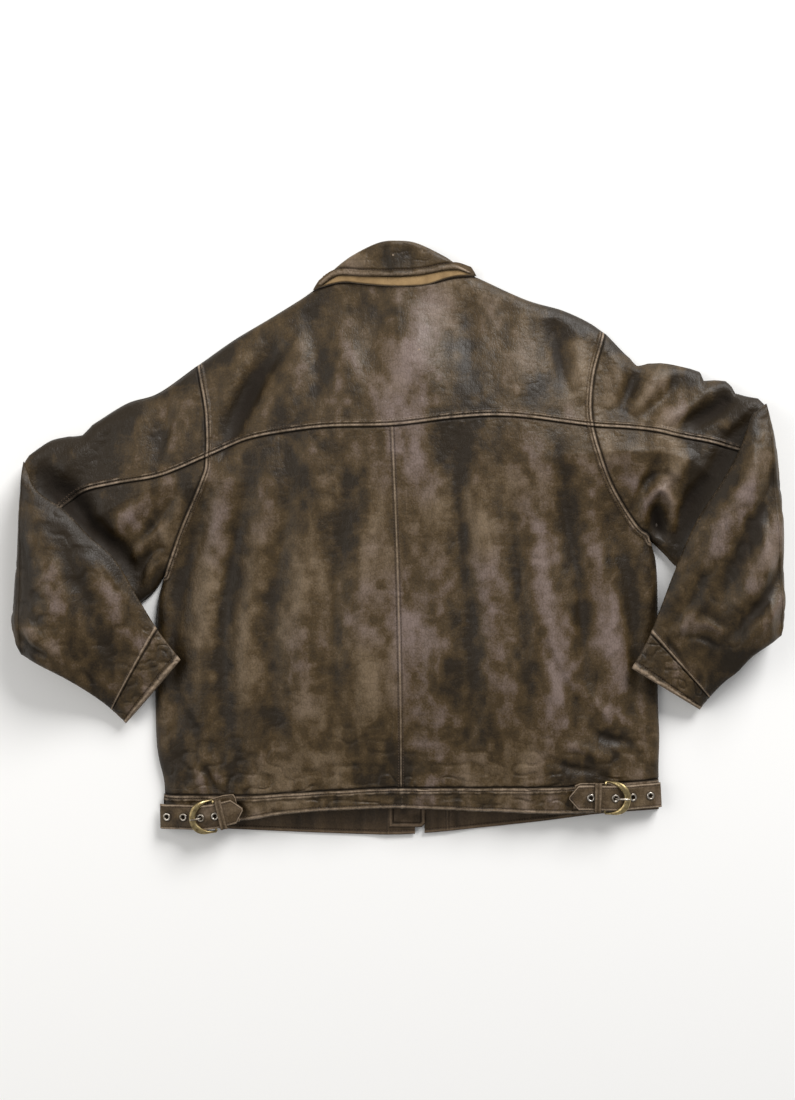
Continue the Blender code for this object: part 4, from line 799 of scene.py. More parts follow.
def back_surface(points, seams):
    """Height and colour values of the jacket's upper layer at any points of the plan."""
    d = distance_to(points, EDGES)
    folds = back_folds(points, d)
    height, wear, dark_seams_and_shade = seam_shape(points, seams)
    near_hem = bell(points[..., 1] + 0.327, 0.016) * (points[..., 1] < -0.25)
    folds = folds + hem_puckers(points) * near_hem
    wear = wear + 0.12 * (1 - ease(d / 0.010)) + 0.10 * np.clip(folds / 0.004, 0, 1)
    # valley paints shade into the deep fold valleys.
    valley = np.clip((-folds - 0.0034) / 0.008, 0, 1)
    values = {"tone": shaded_tone_of(points, folds, d), "wear": wear, "dark_seams_and_shade": np.maximum(dark_seams_and_shade, 0.92 * valley)}
    return back_height(points, d) + folds + height, values


STITCHES = {}


def stitch_rows(body, curve, surface, offsets, start=0.0, end=1.0, pitch=0.0036, sign=1.0):
    """Single stitches along lines beside a curve, lying on a surface."""
    for offset in offsets:
        count = max(int(curve.length * (end - start) / pitch), 2)
        share = start + (np.arange(count) + 0.5) / count * (end - start)
        run = curve(np.minimum(share + 0.004, 1)) - curve(np.maximum(share - 0.004, 0))
        run = run / np.linalg.norm(run, axis=-1, keepdims=True)
        normal = np.stack([-run[:, 1], run[:, 0]], -1) * sign
        middle = curve(share) + normal * offset
        half = run * pitch * 0.33
        a, b = middle - half, middle + half
        ends = [lifted(p, surface(p)[0]) for p in (a, middle, b)]
        STITCHES.setdefault(body, []).append(np.stack(ends, 1))


def sew_all():
    """All stitches of a body as one mesh of small round-ended threads."""
    for body, groups in STITCHES.items():
        lines = np.concatenate(groups)
        ring = np.linspace(0, 2 * math.pi, 6, endpoint=False)
        run = lines[:, 2] - lines[:, 0]
        run = run / np.linalg.norm(run, axis=-1, keepdims=True)
        side = np.cross(run, (0, 0, 1.0))
        side = side / np.maximum(np.linalg.norm(side, axis=-1, keepdims=True), 1e-9)
        up = np.cross(side, run)
        points = []
        for share, size, lift in ((0, 0.10, -0.0002), (0.15, 0.8, 0.0), (0.5, 1.0, 0.00015),
                                  (0.85, 0.8, 0.0), (1, 0.10, -0.0002)):
            centre = lines[:, 0] * (1 - share) + lines[:, 2] * share
            centre = centre * 0.5 + lines[:, 1] * 0.5 if share == 0.5 else centre
            centre = centre + up * (0.00012 + lift)
            for turn in ring:
                points.append(centre + (side * math.cos(turn) + up * math.sin(turn)) * 0.00042 * size)
        count = len(lines)
        points = np.stack(points, 1).reshape(count, 5, 6, 3)
        base = grid_faces(5, 6, close_columns=True)
        faces = (base[None] + (np.arange(count) * 30)[:, None, None]).reshape(-1, 4)
        mesh_object(f"{body}_stitches", points.reshape(-1, 3), faces, THREAD, body)


FOLD_EASE = 1.03


def leather_sheet(obj):
    """Works out a leather panel's size as a sheet, as big as its outline seen from above with ease for the folds; the
    result is not kept.
    """
    width, length, area = plan_size(obj)
    area = area * FOLD_EASE
    width, length = width * math.sqrt(FOLD_EASE), length * math.sqrt(FOLD_EASE)
    if area > width * length:
        length = area / width * 1.02


def plan_size(obj):
    """The width, length and area of a mesh as seen from straight above, each layer counted."""
    mesh = obj.data
    places = np.zeros(len(mesh.vertices) * 3, np.float32)
    mesh.vertices.foreach_get("co", places)
    size = np.ptp(places.reshape(-1, 3), axis=0)
    areas = np.zeros(len(mesh.polygons), np.float32)
    mesh.polygons.foreach_get("area", areas)
    normals = np.zeros(len(mesh.polygons) * 3, np.float32)
    mesh.polygons.foreach_get("normal", normals)
    return float(size[0]), float(size[1]), float((areas * np.abs(normals.reshape(-1, 3)[:, 2])).sum())


# ---------------------------------------------------------------- the body's outer panels
def yoke():
    seam, neck = Curve(YOKE_SEAM), Curve(NECK_SEAM)
    top = joined(SHOULDER[-1], neck, SHOULDER[1].back())
    left = ARMHOLE[-1].part(ARMHOLE[-1].share_at((-0.252, 0.106)), 1)
    right = ARMHOLE[1].part(ARMHOLE[1].share_at((0.256, 0.147)), 1)
    plan = patch(seam, top, left, right, steps(0.54, True, True), steps(0.18, True, True))
    seams = [(seam, "lap"), (left, "lap"), (right, "lap"), (neck, "under")]
    height, values = back_surface(plan, seams)
    values["wear"] = values["wear"] + 1.6 * bell(np.linalg.norm(plan - (0.0273, 0.247), axis=-1), 0.0013)
    points = lifted(plan, height)
    points, values = skirt(points, values, "low", 0.0030)
    points, values = skirt(points, values, "first", 0.0030)
    points, values = skirt(points, values, "last", 0.0030)
    points, values = skirt(points, values, "high", 0.0, 0.0008, to_z=0.0010)
    made = grid("back_yoke_skin", points, LEATHER, "shell", values)
    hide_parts("back_yoke")
    leather_sheet(made)
    surface = lambda p: back_surface(p, seams)
    stitch_rows("shell", seam, surface, (LAP_ROW, LAP_ROW_TWO))
    stitch_rows("shell", left, surface, (LAP_ROW, LAP_ROW_TWO), sign=-1)
    stitch_rows("shell", right, surface, (LAP_ROW, LAP_ROW_TWO))


def back_panels():
    band, seam, centre = Curve(BAND_TOP), Curve(YOKE_SEAM), Curve(CENTRE_SEAM)
    middle_band, middle_seam = band.share_at(CENTRE_SEAM[0]), seam.share_at(CENTRE_SEAM[-1])
    for side in (-1, 1):
        side_start = SIDE[side].share_at(BAND_TOP[0] if side < 0 else BAND_TOP[-1])
        arm_end = ARMHOLE[side].share_at(YOKE_SEAM[0] if side < 0 else YOKE_SEAM[-1])
        low, hole = SIDE[side].part(side_start, 1), ARMHOLE[side].part(0, arm_end)
        outer = joined(low, hole)
        if side < 0:
            bottom, top = band.part(0, middle_band), seam.part(0, middle_seam)
        else:
            bottom, top = band.part(1, middle_band), seam.part(1, middle_seam)
        plan = patch(bottom, top, outer, centre, steps(0.32, True, True), steps(0.47, True, True))
        seams = [(seam, "under"), (hole, "lap"), (centre, "ridge"), (band, "under")]
        height, values = back_surface(plan, seams)
        points = lifted(plan, height)
        points, values = skirt(points, values, "high", 0.0020)
        points, values = skirt(points, values, "first", 0.0030, 0.0006)
        rim = points[:4, :, 2]
        lower = np.linspace(1.0, 0.0, 4)[:, None]
        armpit = low.length / outer.length
        share = np.concatenate([np.linspace(0, 1, points.shape[1] - 4), np.ones(4)])
        on_side = (share < armpit)[None]
        points[:4, :, 2] = np.where(on_side, 0.0008 + (points[4:5, :, 2] - 0.0008) * (1 - lower), rim)
        name = f"back_panel_{NAMES[side]}_skin"
        made = grid(name, points, LEATHER, "shell", values, flip=side > 0)
        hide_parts(f"back_panel_{NAMES[side]}")
        leather_sheet(made)
        surface = lambda p, s=seams: back_surface(p, s)
        stitch_rows("shell", hole, surface, (LAP_ROW, LAP_ROW_TWO), sign=-side * -1 if side < 0 else 1)
        stitch_rows("shell", centre, surface, (0.0030,), sign=1 if side < 0 else -1)


def hem_band():
    """The waistband of the back: a doubled strip, rolled at its lower edge and faced on the inside."""
    top, bottom = Curve(BAND_TOP), Curve(BAND_BOTTOM)
    ends = Curve([BAND_BOTTOM[0], BAND_TOP[0]]), Curve([BAND_BOTTOM[-1], BAND_TOP[-1]])
    plan = patch(bottom, top, *ends, steps(0.66, True, True), steps(0.034, True, True, 0.0010, 0.004))
    seams = [(top, "lap")]

    def surface(points):
        height, values = back_surface(points, seams)
        d, share, _ = nearest(points, bottom, 90)
        along = np.stack([share * bottom.length, d], -1)
        gather = noise(along, 0.0055, 0.03, 61) + 0.7 * noise(along, 0.013, 0.03, 62)
        middle = bell(d - 0.015, 0.016)
        height = (height + 0.0008 * gather * middle - 0.0008 * bell(d - 0.0042, 0.0007)
                  - 0.0016 * (1 - crown(d, 0.0022)))
        centre_line = nearest(points, Curve([(0.004, -0.326), (0.005, -0.354)]), 8)[0]
        height = height + 0.0009 * bell(centre_line, 0.0014)
        values["wear"] = (np.maximum(values["wear"], 0.95 * bell(d - 0.0014, 0.0017))
                          + 0.35 * bell(centre_line, 0.0012))
        values["wear"] = values["wear"] + 0.22 * np.clip(gather, 0, 1) * middle
        # Painted shade in the stitch groove above the rolled edge.
        values["dark_seams_and_shade"] = np.maximum(values["dark_seams_and_shade"], 0.75 * bell(d - 0.0042, 0.0005))
        # Gathers get painted light on their ridges and painted shade in their hollows.
        values["tone"] = values["tone"] + 0.16 * gather * middle
        return height, values

    height, values = surface(plan)
    outer = lifted(plan, height)
    rows = [outer[:, ::-1]]
    rim, gone = outer[:, 0], outer[:, 0] - outer[:, 2]
    gone = gone / np.linalg.norm(gone, axis=-1, keepdims=True)
    for turn in np.linspace(20, 180, 7):
        angle = math.radians(turn)
        row = rim + gone * [1, 1, 0] * 0.0016 * math.sin(angle)
        row[:, 2] = rim[:, 2] - 0.0016 * (1 - math.cos(angle))
        rows.append(row[:, None])
    under = outer.copy()
    under[..., 2] -= 0.0034
    rows.append(under[:, 1:])
    points = np.concatenate(rows, axis=1)
    grown = {}
    for key, value in values.items():
        edge = np.repeat(value[:, :1], 7, 1)
        # The rolled edge keeps at most 0.4 of painted shade; the inner facing below gets painted shade and a darker
        # tone.
        edge = np.minimum(edge, 0.4) if key == "dark_seams_and_shade" else edge
        inner = np.full_like(value[:, 1:], {"tone": 0.3, "wear": 0.1, "dark_seams_and_shade": 0.2}[key])
        grown[key] = np.concatenate([value[:, ::-1], edge, inner], 1)
    made = grid("back_hem_band_skin", points, LEATHER, "shell", grown, flip=True)
    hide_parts("back_hem_band")
    leather_sheet(made)
    stitch_rows("shell", top, surface, (0.0042,), sign=-1, pitch=0.0034)
    stitch_rows("shell", bottom, surface, (0.0042,), pitch=0.0034)


# ---------------------------------------------------------------- sleeves
def upper_sleeve(side):
    """Under sleeve below the back seam, top sleeve above it and round the front of the arm."""
    hole, low, top = ARMHOLE[side], SLEEVE_LOW[side], SLEEVE_TOP[side]
    fold, seam = Curve([low(1), top(1)]), SLEEVE_SEAM[side]
    hole_seam, fold_seam = hole.share_at(seam(0)), fold.share_at(seam(1))
    along = steps(0.24, True, False)
    name = NAMES[side]
    flip = side < 0
    for piece, bottom, upper, start, end, lap in (("under", low, seam, 0, fold_seam, "under"),
                                                  ("top", seam, top, fold_seam, 1, "lap")):
        hole_part = hole.part(0, hole_seam) if piece == "under" else hole.part(hole_seam, 1)
        across = steps(0.17, piece == "top", piece == "under")
        plan = patch(bottom, upper, hole_part, fold.part(start, end), along, across)
        seams = [(hole, "under"), (seam, lap)]
        height, values = back_surface(plan, seams)
        points = lifted(plan, height)
        if piece == "under":
            points, values = skirt(points, values, "high", 0.0022)
            points, values = skirt(points, values, "low", 0.0, 0.0012, to_z=0.5 * EDGE_TOP)
            points[:, 0, 2] = front_height(plan[:, 0])
        else:
            points, values = skirt(points, values, "low", 0.0028)
            points, values = skirt(points, values, "high", 0.0, 0.0012, to_z=0.5 * EDGE_TOP)
            points[:, -1, 2] = front_height(plan[:, -1])
        points, values = skirt(points, values, "first", 0.0020)
        points = ragged(points, side)
        made = grid(f"{name}_{piece}_sleeve_skin", points, LEATHER, "shell", values, flip=flip)
        if piece == "under":
            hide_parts(f"{name}_under_sleeve_upper")
            leather_sheet(made)
            continue
        surface = lambda p, s=seams: back_surface(p, s)
        stitch_rows("shell", seam, surface, (LAP_ROW, LAP_ROW_TWO), sign=side, start=0.02, end=0.985)
        front = patch(low, top, hole, fold, steps(0.24, coarse=0.005), steps(0.28, coarse=0.005))
        rise = front_height(front) + 0.0010 * noise(front, 0.03, None,
                                                    81) * crown(distance_to(front, EDGES), 0.02)
        rise = np.maximum(rise, 0.0)
        below = grid(f"{name}_top_sleeve_front_skin", ragged(lifted(front, rise), side), LEATHER, "shell",
                     flip=not flip)
        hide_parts(f"{name}_top_sleeve_upper")
        leather_sheet(made)
        leather_sheet(below)


class Forearm:
    """The folded forearm as a flat tube: s runs from the fold to the cuff's end, c from the outer edge to the inner."""

    def __init__(self, side):
        self.side = side
        self.inner, self.outer = FOREARM_IN[side], FOREARM_OUT[side]
        self.fold = Curve([self.outer(0), self.inner(0)])
        self.end = Curve([self.outer(1), self.inner(1)])
        self.length = (self.inner.length + self.outer.length) / 2

    def plan(self, s, c):
        return patch(self.outer, self.inner, self.fold, self.end, s, c)

    def line(self, s):
        """The line across the forearm at one share of its length, outer edge first."""
        return Curve(self.plan(np.array([s]), np.linspace(0, 1, 24))[0])

    def middle(self, s, c):
        high = FOLD_Z + 0.0011 + FOREARM_HALF
        low = CUFF_LOW_Z + (CUFF_HIGH_Z - CUFF_LOW_Z) * c
        drop = ease((s - 0.22) / 0.78) * (1.0 - 0.25 * c * (1 - s))
        corner = np.hypot(s * self.length, np.minimum(c, 1 - c) * self.fold.length)
        return high + (low - high) * drop - 0.010 * bell(corner, 0.022)

    def half(self, s, plan):
        thick = FOREARM_HALF + (CUFF_HALF - FOREARM_HALF) * ease(s / 0.8)
        return thick * crown(distance_to(plan, [self.inner, self.outer]), 0.055)

    def layer(self, s, c, sign):
        """One layer as points and colour values; s and c are shares along and across."""
        plan = self.plan(s, c)
        s2, c2 = np.broadcast_to(s[:, None], plan.shape[:2]), np.broadcast_to(c[None], plan.shape[:2])
        d = distance_to(plan, [self.inner, self.outer])
        height = self.middle(s2, c2) + sign * (0.0006 + self.half(s2, plan))
        cuff = CUFF_START[self.side]
        over = s2 > cuff
        if sign > 0:
            height = height - 0.010 * (1 - ease(s2 / 0.13)) * ease(d / 0.02)
            folds = 1.35 * folded(plan, FOREARM_FOLDS[self.side]) + 0.0018 * noise(plan, 0.035, 0.08, 84)
            folds = folds + 0.0014 * (crumple(plan, 0.018, 85) - 0.5)
            folds = (folds * ease(d / 0.018) * (1 - 0.45 * over)
                     + (0.0016 * over * (crumple(plan, 0.011, 89) - 0.5)) + 0.00026 * (crumple(plan, 0.0065,
                                                                                               86) - 0.5))
        else:
            folds = 0.0006 * noise(plan, 0.03, None, 87) * ease(d / 0.02)
        away = (s2 - cuff) * self.length
        gather = noise(np.stack([c2 * 0.14, away], -1), 0.005, 0.02, 88)
        ridge = 0.0014 * bell(away + 0.0022, 0.0019) - 0.0016 * bell(away - 0.0006, 0.0010)
        ridge = ridge + 0.0005 * gather * bell(away, 0.008)
        to_end = (1 - s2) * self.length
        rim = 0.0009 * bell(to_end - 0.0022, 0.0022) - 0.0012 * bell(to_end - 0.0062, 0.0009)
        rim = rim + 0.0004 * gather * bell(to_end - 0.004, 0.006)
        wear = (0.85 * bell(away + 0.0022, 0.0016) + 0.95 * bell(to_end - 0.0018, 0.0020)
                + 0.35 * (1 - ease(d / 0.010)))
        wear = wear + 0.18 * np.clip(folds / 0.004, 0, 1) + 0.12 * over
        # Painted shade in the cuff seam's ditch and in the groove by the wrist rim.
        dark_seams_and_shade = np.maximum(0.95 * bell(away - 0.0007, 0.0008), 0.75 * bell(to_end - 0.0062, 0.0007))
        # valley paints shade into the deep fold valleys.
        valley = np.clip((-folds - 0.0026) / 0.006, 0, 1)
        values = {"tone": shaded_tone_of(plan, folds, d), "wear": wear, "dark_seams_and_shade": np.maximum(dark_seams_and_shade, 0.7 * valley)}
        return lifted(plan, height + sign * (ridge + rim) + folds), values


def joined_values(*parts):
    return {key: np.concatenate([p[key] for p in parts], 1) for key in parts[0]}


def flipped(values):
    return {key: value[:, ::-1] for key, value in values.items()}


def forearm(side):
    arm, name = Forearm(side), NAMES[side]
    body = f"{name}_forearm"
    cuff = CUFF_START[side]
    limit = 0.0004 / arm.length
    across = (1 - np.cos(np.pi * np.linspace(0, 1, 110))) / 2
    along = limit + steps(arm.length * cuff, False, True) * (cuff - 2 * limit)
    top, top_values = arm.layer(along, across, 1)
    low, low_values = arm.layer(along, across, -1)
    split = 60
    ring = np.concatenate([top, low[:, ::-1][:, 1:-split]], 1)
    values = joined_values(top_values, {k: v[:, 1:-split] for k, v in flipped(low_values).items()})
    made = grid(f"{name}_forearm_skin", ring, LEATHER, body, values, flip=side > 0)
    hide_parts(f"{name}_top_sleeve_forearm")
    leather_sheet(made)
    made = grid(f"{name}_forearm_under_skin", low[:, :split + 1], LEATHER, body,
                {k: v[:, :split + 1] for k, v in low_values.items()},
                flip=side < 0)
    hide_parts(f"{name}_under_sleeve_forearm")
    leather_sheet(made)
    cuff_piece(arm, name, body, across)
    elbow(side, arm, top[0], top_values)


def cuff_piece(arm, name, body, across):
    """The cuff: a doubled ring with a rolled rim at the wrist and its facing inside."""
    side, cuff = arm.side, CUFF_START[arm.side]
    along = cuff + steps(arm.length * (1 - cuff), True, True, 0.0012, 0.012) * (1 - cuff)
    top, top_values = arm.layer(along, across, 1)
    low, low_values = arm.layer(along, across, -1)
    ring = np.concatenate([top, low[:, ::-1][:, 1:-1]], 1)
    values = joined_values(top_values, {k: v[:, 1:-1] for k, v in flipped(low_values).items()})
    centre = (top[-1] + low[-1]) / 2
    centre = np.concatenate([centre, centre[::-1][1:-1]])
    way = Vector(arm.end(0.5) - arm.line(0.97)(0.5)).to_3d().normalized()
    rim = ring[-1]
    inward = centre - rim
    deep = np.linalg.norm(inward, axis=-1, keepdims=True)
    inward = inward / np.maximum(deep, 1e-6) * np.minimum(deep * 0.45, 0.0016)
    rows, extra = [ring], [values]
    for turn in (30, 70, 110, 150, 180):
        a = math.radians(turn)
        rows.append((rim + inward * (1 - math.cos(a)) / 1 + np.array(way) * 0.0013 * math.sin(a))[None])
        extra.append({k: np.full((1, ring.shape[1]), v) for k,
                      v in (("tone", 0.75), ("wear", 0.75), ("dark_seams_and_shade", 0.0))})
    # Rows going into the cuff get painted shade, darker the deeper they go.
    for step, back in enumerate((0.006, 0.014, 0.030)):
        rows.append((rim + inward * 2.0 - np.array(way) * back)[None])
        extra.append({k: np.full((1, ring.shape[1]), v) for k,
                      v in (("tone", 0.2), ("wear", 0.05), ("dark_seams_and_shade", 0.35 + 0.2 * step))})
    points = np.concatenate(rows, 0)
    grown = {key: np.concatenate([part[key] for part in extra], 0) for key in values}
    made = grid(f"{name}_cuff_skin", points, LEATHER, body, grown, flip=side > 0, close_columns=True)
    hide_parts(f"{name}_cuff")
    leather_sheet(made)
    for share, pitch in ((cuff - 0.0048 / arm.length, 0.0034), (1 - 0.0062 / arm.length, 0.0034)):
        line = arm.line(share)
        height = Curve(arm.layer(np.array([share, share + 0.001]), np.linspace(0, 1, 160), 1)[0][0])

        def surface(points, line=line, height=height):
            _, where, _ = nearest(points, line, 60)
            d = np.linalg.norm(height.points[None, :, :2] - points[:, None], axis=-1)
            return height.points[np.argmin(d, 1), 2] + 0.0002 + 0 * where, None

        stitch_rows(body, line, surface, (0.0,), 0.04, 0.96, pitch)


def elbow(side, arm, top_rim, values):
    """The leather that turns round the fold, from the lower layer of the upper arm up to the forearm."""
    name = NAMES[side]
    line = top_rim[:, :2]
    low = front_height(line)
    high = top_rim[:, 2]
    share = np.linspace(0, 1, len(line))
    from_top = 1 - nearest(line, Curve([arm.inner(0), arm.outer(0)]), 40)[1]
    reach = np.interp(1 - from_top, [p[0] for p in (LEFT if side < 0 else RIGHT)["bulge"]],
                      [p[1] for p in (LEFT if side < 0 else RIGHT)["bulge"]])
    rows = []
    turns = math.pi * (1 - np.cos(np.pi * np.linspace(0, 1, 52))) / 2
    outline = np.stack([line[:, 0], line[:, 1]], -1)
    length = np.linalg.norm(line[-1] - line[0])
    run = (line[-1] - line[0]) / length
    from_end = np.minimum(share, 1 - share) * length
    reach = reach * ease(from_end / 0.016 + 0.15)
    tuck = 0.018 * (1 - ease(from_end / 0.055)) * np.where(share < 0.5, 1, -1)
    for turn in turns:
        bow = run * (tuck * math.sin(turn))[:, None]
        x = line[:, 0] + bow[:, 0] + side * (0.0003 + reach * math.sin(turn))
        z = (low + high) / 2 - (high - low) / 2 * math.cos(turn)
        sheet_place = np.stack([outline[:, 1], z * 1.6], -1)
        crease = (0.0030 * noise(sheet_place, 0.060, 0.020, 91)
                  + 0.0016 * (crumple(sheet_place, 0.026, 92) - 0.5))
        crease = crease - 0.0024 * bell((z - (low + high) / 2) / (high - low), 0.12)
        edge = math.sin(turn) ** 1.6 * np.sin(np.pi * share) ** 0.3
        rows.append(np.stack([x + side * (crease - 0.0012) * edge, line[:, 1] + bow[:, 1], z], -1))
    points = np.stack(rows, 0)
    place = np.stack([points[..., 1], points[..., 2]], -1)
    share_up = np.linspace(0, 1, len(points))[:, None] ** 2
    rim_tone = values["tone"][0][None]
    tone = rim_tone * share_up + (1 - share_up) * (0.38 + 0.3 * noise(place, 0.035, 0.014,
                                                                      93) + 0.2 * noise(place, 0.012, None,
                                                                                        94))
    wear = 0.12 + 0.12 * noise(place, 0.02, 0.008, 95)
    made = grid(f"{name}_elbow_skin", points, LEATHER, None, {"tone": tone, "wear": wear}, flip=side < 0)
    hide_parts(f"{name}_elbow")
    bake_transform(made)


def drawn_in(plan, rim):
    """A patch narrowed by rim at both ends of its second direction."""
    way = plan[:, -1:] - plan[:, :1]
    share = rim / np.linalg.norm(way, axis=-1, keepdims=True)
    return plan[:, :1] + (plan - plan[:, :1]) * (1 - 2 * share) + way * share


def lining_sheet(name, points, body, flip=False, closed=False):
    """A sheet of lining cloth in place of its CAD node; its cut size is worked out but not kept."""
    made = grid(f"{name}_skin", points, LINING, body, flip=flip, close_columns=closed)
    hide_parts(name)
    round(plan_size(made)[2] * FOLD_EASE, 5)


def sleeve_linings():
    for side in (-1, 1):
        name = NAMES[side]
        hole, low, top = ARMHOLE[side], SLEEVE_LOW[side], SLEEVE_TOP[side]
        fold = Curve([low(1), top(1)])
        wide = (1 - np.cos(np.pi * np.linspace(0, 1, 50))) / 2
        plan = drawn_in(patch(low, top, hole, fold, np.linspace(0.03, 0.97, 50), wide), 0.012)
        d = distance_to(plan, EDGES)
        upper = back_height(plan, d) + back_folds(plan, d) - 0.0048
        lower = front_height(plan, d) + 0.0036
        closing = ease(np.minimum(wide, 1 - wide) / 0.12)[None]
        middle = (upper + lower) / 2
        upper = np.maximum(middle + (upper - middle) * closing, lower)
        lower = middle + (lower - middle) * closing
        upper = np.maximum(upper, lower + 0.0006 * closing)
        ring = np.concatenate([lifted(plan, upper), lifted(plan, lower)[:, ::-1][:, 1:-1]], 1)
        lining_sheet(f"{name}_sleeve_lining_upper", ring, "shell",
                     side < 0, True)
        arm = Forearm(side)
        along = np.linspace(0.04, CUFF_START[side] - 0.02, 60)
        narrow = 0.08 + 0.84 * wide
        inner = arm.plan(along, narrow)
        top_points = arm.layer(along, narrow, 1)[0][..., 2] - 0.0044
        low_points = arm.layer(along, narrow, -1)[0][..., 2] + 0.0030
        middle = (top_points + low_points) / 2
        high = np.maximum(middle + (top_points - middle) * closing, middle)
        deep = np.minimum(middle + (low_points - middle) * closing, middle)
        ring = np.concatenate([lifted(inner, high), lifted(inner, deep)[:, ::-1][:, 1:-1]], 1)
        lining_sheet(f"{name}_sleeve_lining_forearm", ring, f"{name}_forearm",
                     side > 0, True)


# ---------------------------------------------------------------- collar
def collar_leaf():
    """The outer leaf: crowned, rolled over the top fold and along its free edge, with a row of stitches."""
    leaf, top = Curve(LEAF_EDGE), Curve(COLLAR_TOP)
    low, high = leaf.part(0.03, 0.97), top.part(0.02, 0.98)
    ends = Curve([low(0), high(0)]), Curve([low(1), high(1)])
    u, v = steps(0.215, True, True, 0.0012), steps(0.044, True, True, 0.0009, 0.006)
    plan = patch(low, high, *ends, u, v)
    from_edge, share, _ = nearest(plan, low, 90)
    from_top = nearest(plan, high, 90)[0]
    along = np.stack([share * low.length, from_edge], -1)
    gather = noise(along, 0.008, 0.03, 101)
    folds = folded(plan, [
        ([(-0.016, 0.384), (-0.014, 0.366), (-0.010, 0.350)], 0.006, -0.0018, 0.3),
        ([(0.018, 0.382), (0.016, 0.366), (0.014, 0.352)], 0.007, -0.0010, 0),
        ([(-0.050, 0.372), (-0.045, 0.360), (-0.044, 0.350)], 0.008, 0.0012, 0),
        ([(0.050, 0.374), (0.046, 0.362), (0.044, 0.354)], 0.008, 0.0010, 0),
        ([(-0.078, 0.356), (-0.066, 0.350), (-0.052, 0.348)], 0.005, -0.0012, 0.3),
    ]) + 0.0007 * noise(plan, 0.014, None, 102) + 0.0005 * (crumple(plan, 0.012, 104) - 0.5)
    base = back_height(plan) + 0.0062
    height = base + folds * ease(from_edge / 0.006) * ease(from_top / 0.004)
    height = height + 0.0009 * bell(from_edge - 0.0035, 0.0028) - 0.0014 * bell(from_edge - 0.0085, 0.0014)
    height = height + 0.0003 * gather * bell(from_edge - 0.006, 0.006)
    height = height - 0.0040 * (1 - crown(from_top, 0.006)) - 0.0012 * (1 - crown(from_edge, 0.0016))
    wear = 0.62 * bell(from_edge - 0.003, 0.0034) + 0.22 * (1 - ease(from_top / 0.004))
    wear = wear + 0.5 * bell(np.linalg.norm(plan - (0.032, 0.377), axis=-1), 0.0035)
    wear = wear + 1.6 * bell(np.linalg.norm(plan - (-0.0065, 0.372), axis=-1), 0.0013)
    # Painted shade in the stitch groove.
    dark_seams_and_shade = 0.80 * bell(from_edge - 0.0086, 0.0009)
    # 150 * folds paints sheen on the collar's ridges and shade in its hollows.
    tone = 0.50 + 0.30 * noise(plan, 0.03, 0.03, 103) + 150 * folds
    values = {"tone": tone, "wear": wear, "dark_seams_and_shade": dark_seams_and_shade}
    points = lifted(plan, height)
    points, values = skirt(points, values, "low", 0.0034, 0.0006)
    points, values = skirt(points, values, "high", 0.0, 0.0012, to_z=0.0100)
    points, values = skirt(points, values, "first", 0.0034, 0.0004)
    points, values = skirt(points, values, "last", 0.0034, 0.0004)
    values["dark_seams_and_shade"] = np.minimum(values["dark_seams_and_shade"], 0.85)
    made = grid("collar_leaf_skin", points, LEATHER, None, values)
    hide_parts("collar_leaf", "collar_stand")
    lift(made)

    def surface(points):
        grid_xy = plan.reshape(-1, 2)
        flat = height.reshape(-1)
        return np.array([flat[np.argmin(((grid_xy - p) ** 2).sum(1))] for p in points]) + 0.0003, None

    stitch_rows("collar", low, surface, (0.0085,), 0.03, 0.97, 0.0036)


def lift(piece):
    """Bakes a collar piece's placement into its mesh."""
    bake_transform(piece)


def undercollar():
    """Tan suede under the leaf, seen as a strip below the leaf's edge and running down its left end."""
    neck, top = Curve(NECK_SEAM), Curve(LEAF_EDGE)
    low = Curve(np.vstack([neck(np.linspace(0.0, 0.2, 4)) + (0, 0.0008),
                           neck(np.linspace(0.3, 0.7, 5)) + (0, -0.0008),
                           neck(np.linspace(0.8, 1.0, 4)) + (0, 0.0016)]))
    high = Curve(top(np.linspace(0, 1, 11)) + (0, 0.010))
    ends = Curve([low(0), high(0)]), Curve([low(1), high(1)])
    plan = patch(low, high, *ends, steps(0.215, True, True, 0.0014), steps(0.022, True, False, 0.0008, 0.005))
    from_low = nearest(plan, low, 90)[0]
    centre = np.abs(plan[..., 0] + 0.0140)
    height = (back_height(plan) + 0.0034 + 0.0003 * noise(plan, 0.010, None, 111)
              - 0.0012 * (1 - crown(from_low, 0.0018)))
    height = height + 0.0004 * bell(centre - 0.0014, 0.0010) - 0.0004 * bell(centre, 0.0006)
    # shade paints the shadow of the leaf's edge on the suede; the centre line and the neck seam are dark seam lines.
    shade = np.clip((plan[..., 1] - (np.interp(plan[..., 0], *zip(*LEAF_EDGE)) - 0.0012)) / 0.0016, 0,
                    1) * 0.8
    values = {"tone": np.full(height.shape, 0.5), "wear": np.zeros(height.shape),
              "dark_seams_and_shade": np.maximum(np.maximum(shade, 0.55 * bell(centre, 0.0004)),
                                 0.5 * bell(from_low, 0.0006))}
    points, values = skirt(lifted(plan, height), values, "low", 0.0030, 0.0005)
    points, values = skirt(points, values, "first", 0.0030, 0.0005)
    points, values = skirt(points, values, "last", 0.0030, 0.0005)
    made = grid("undercollar_skin", points, SUEDE, None, values)
    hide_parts("undercollar")
    lift(made)


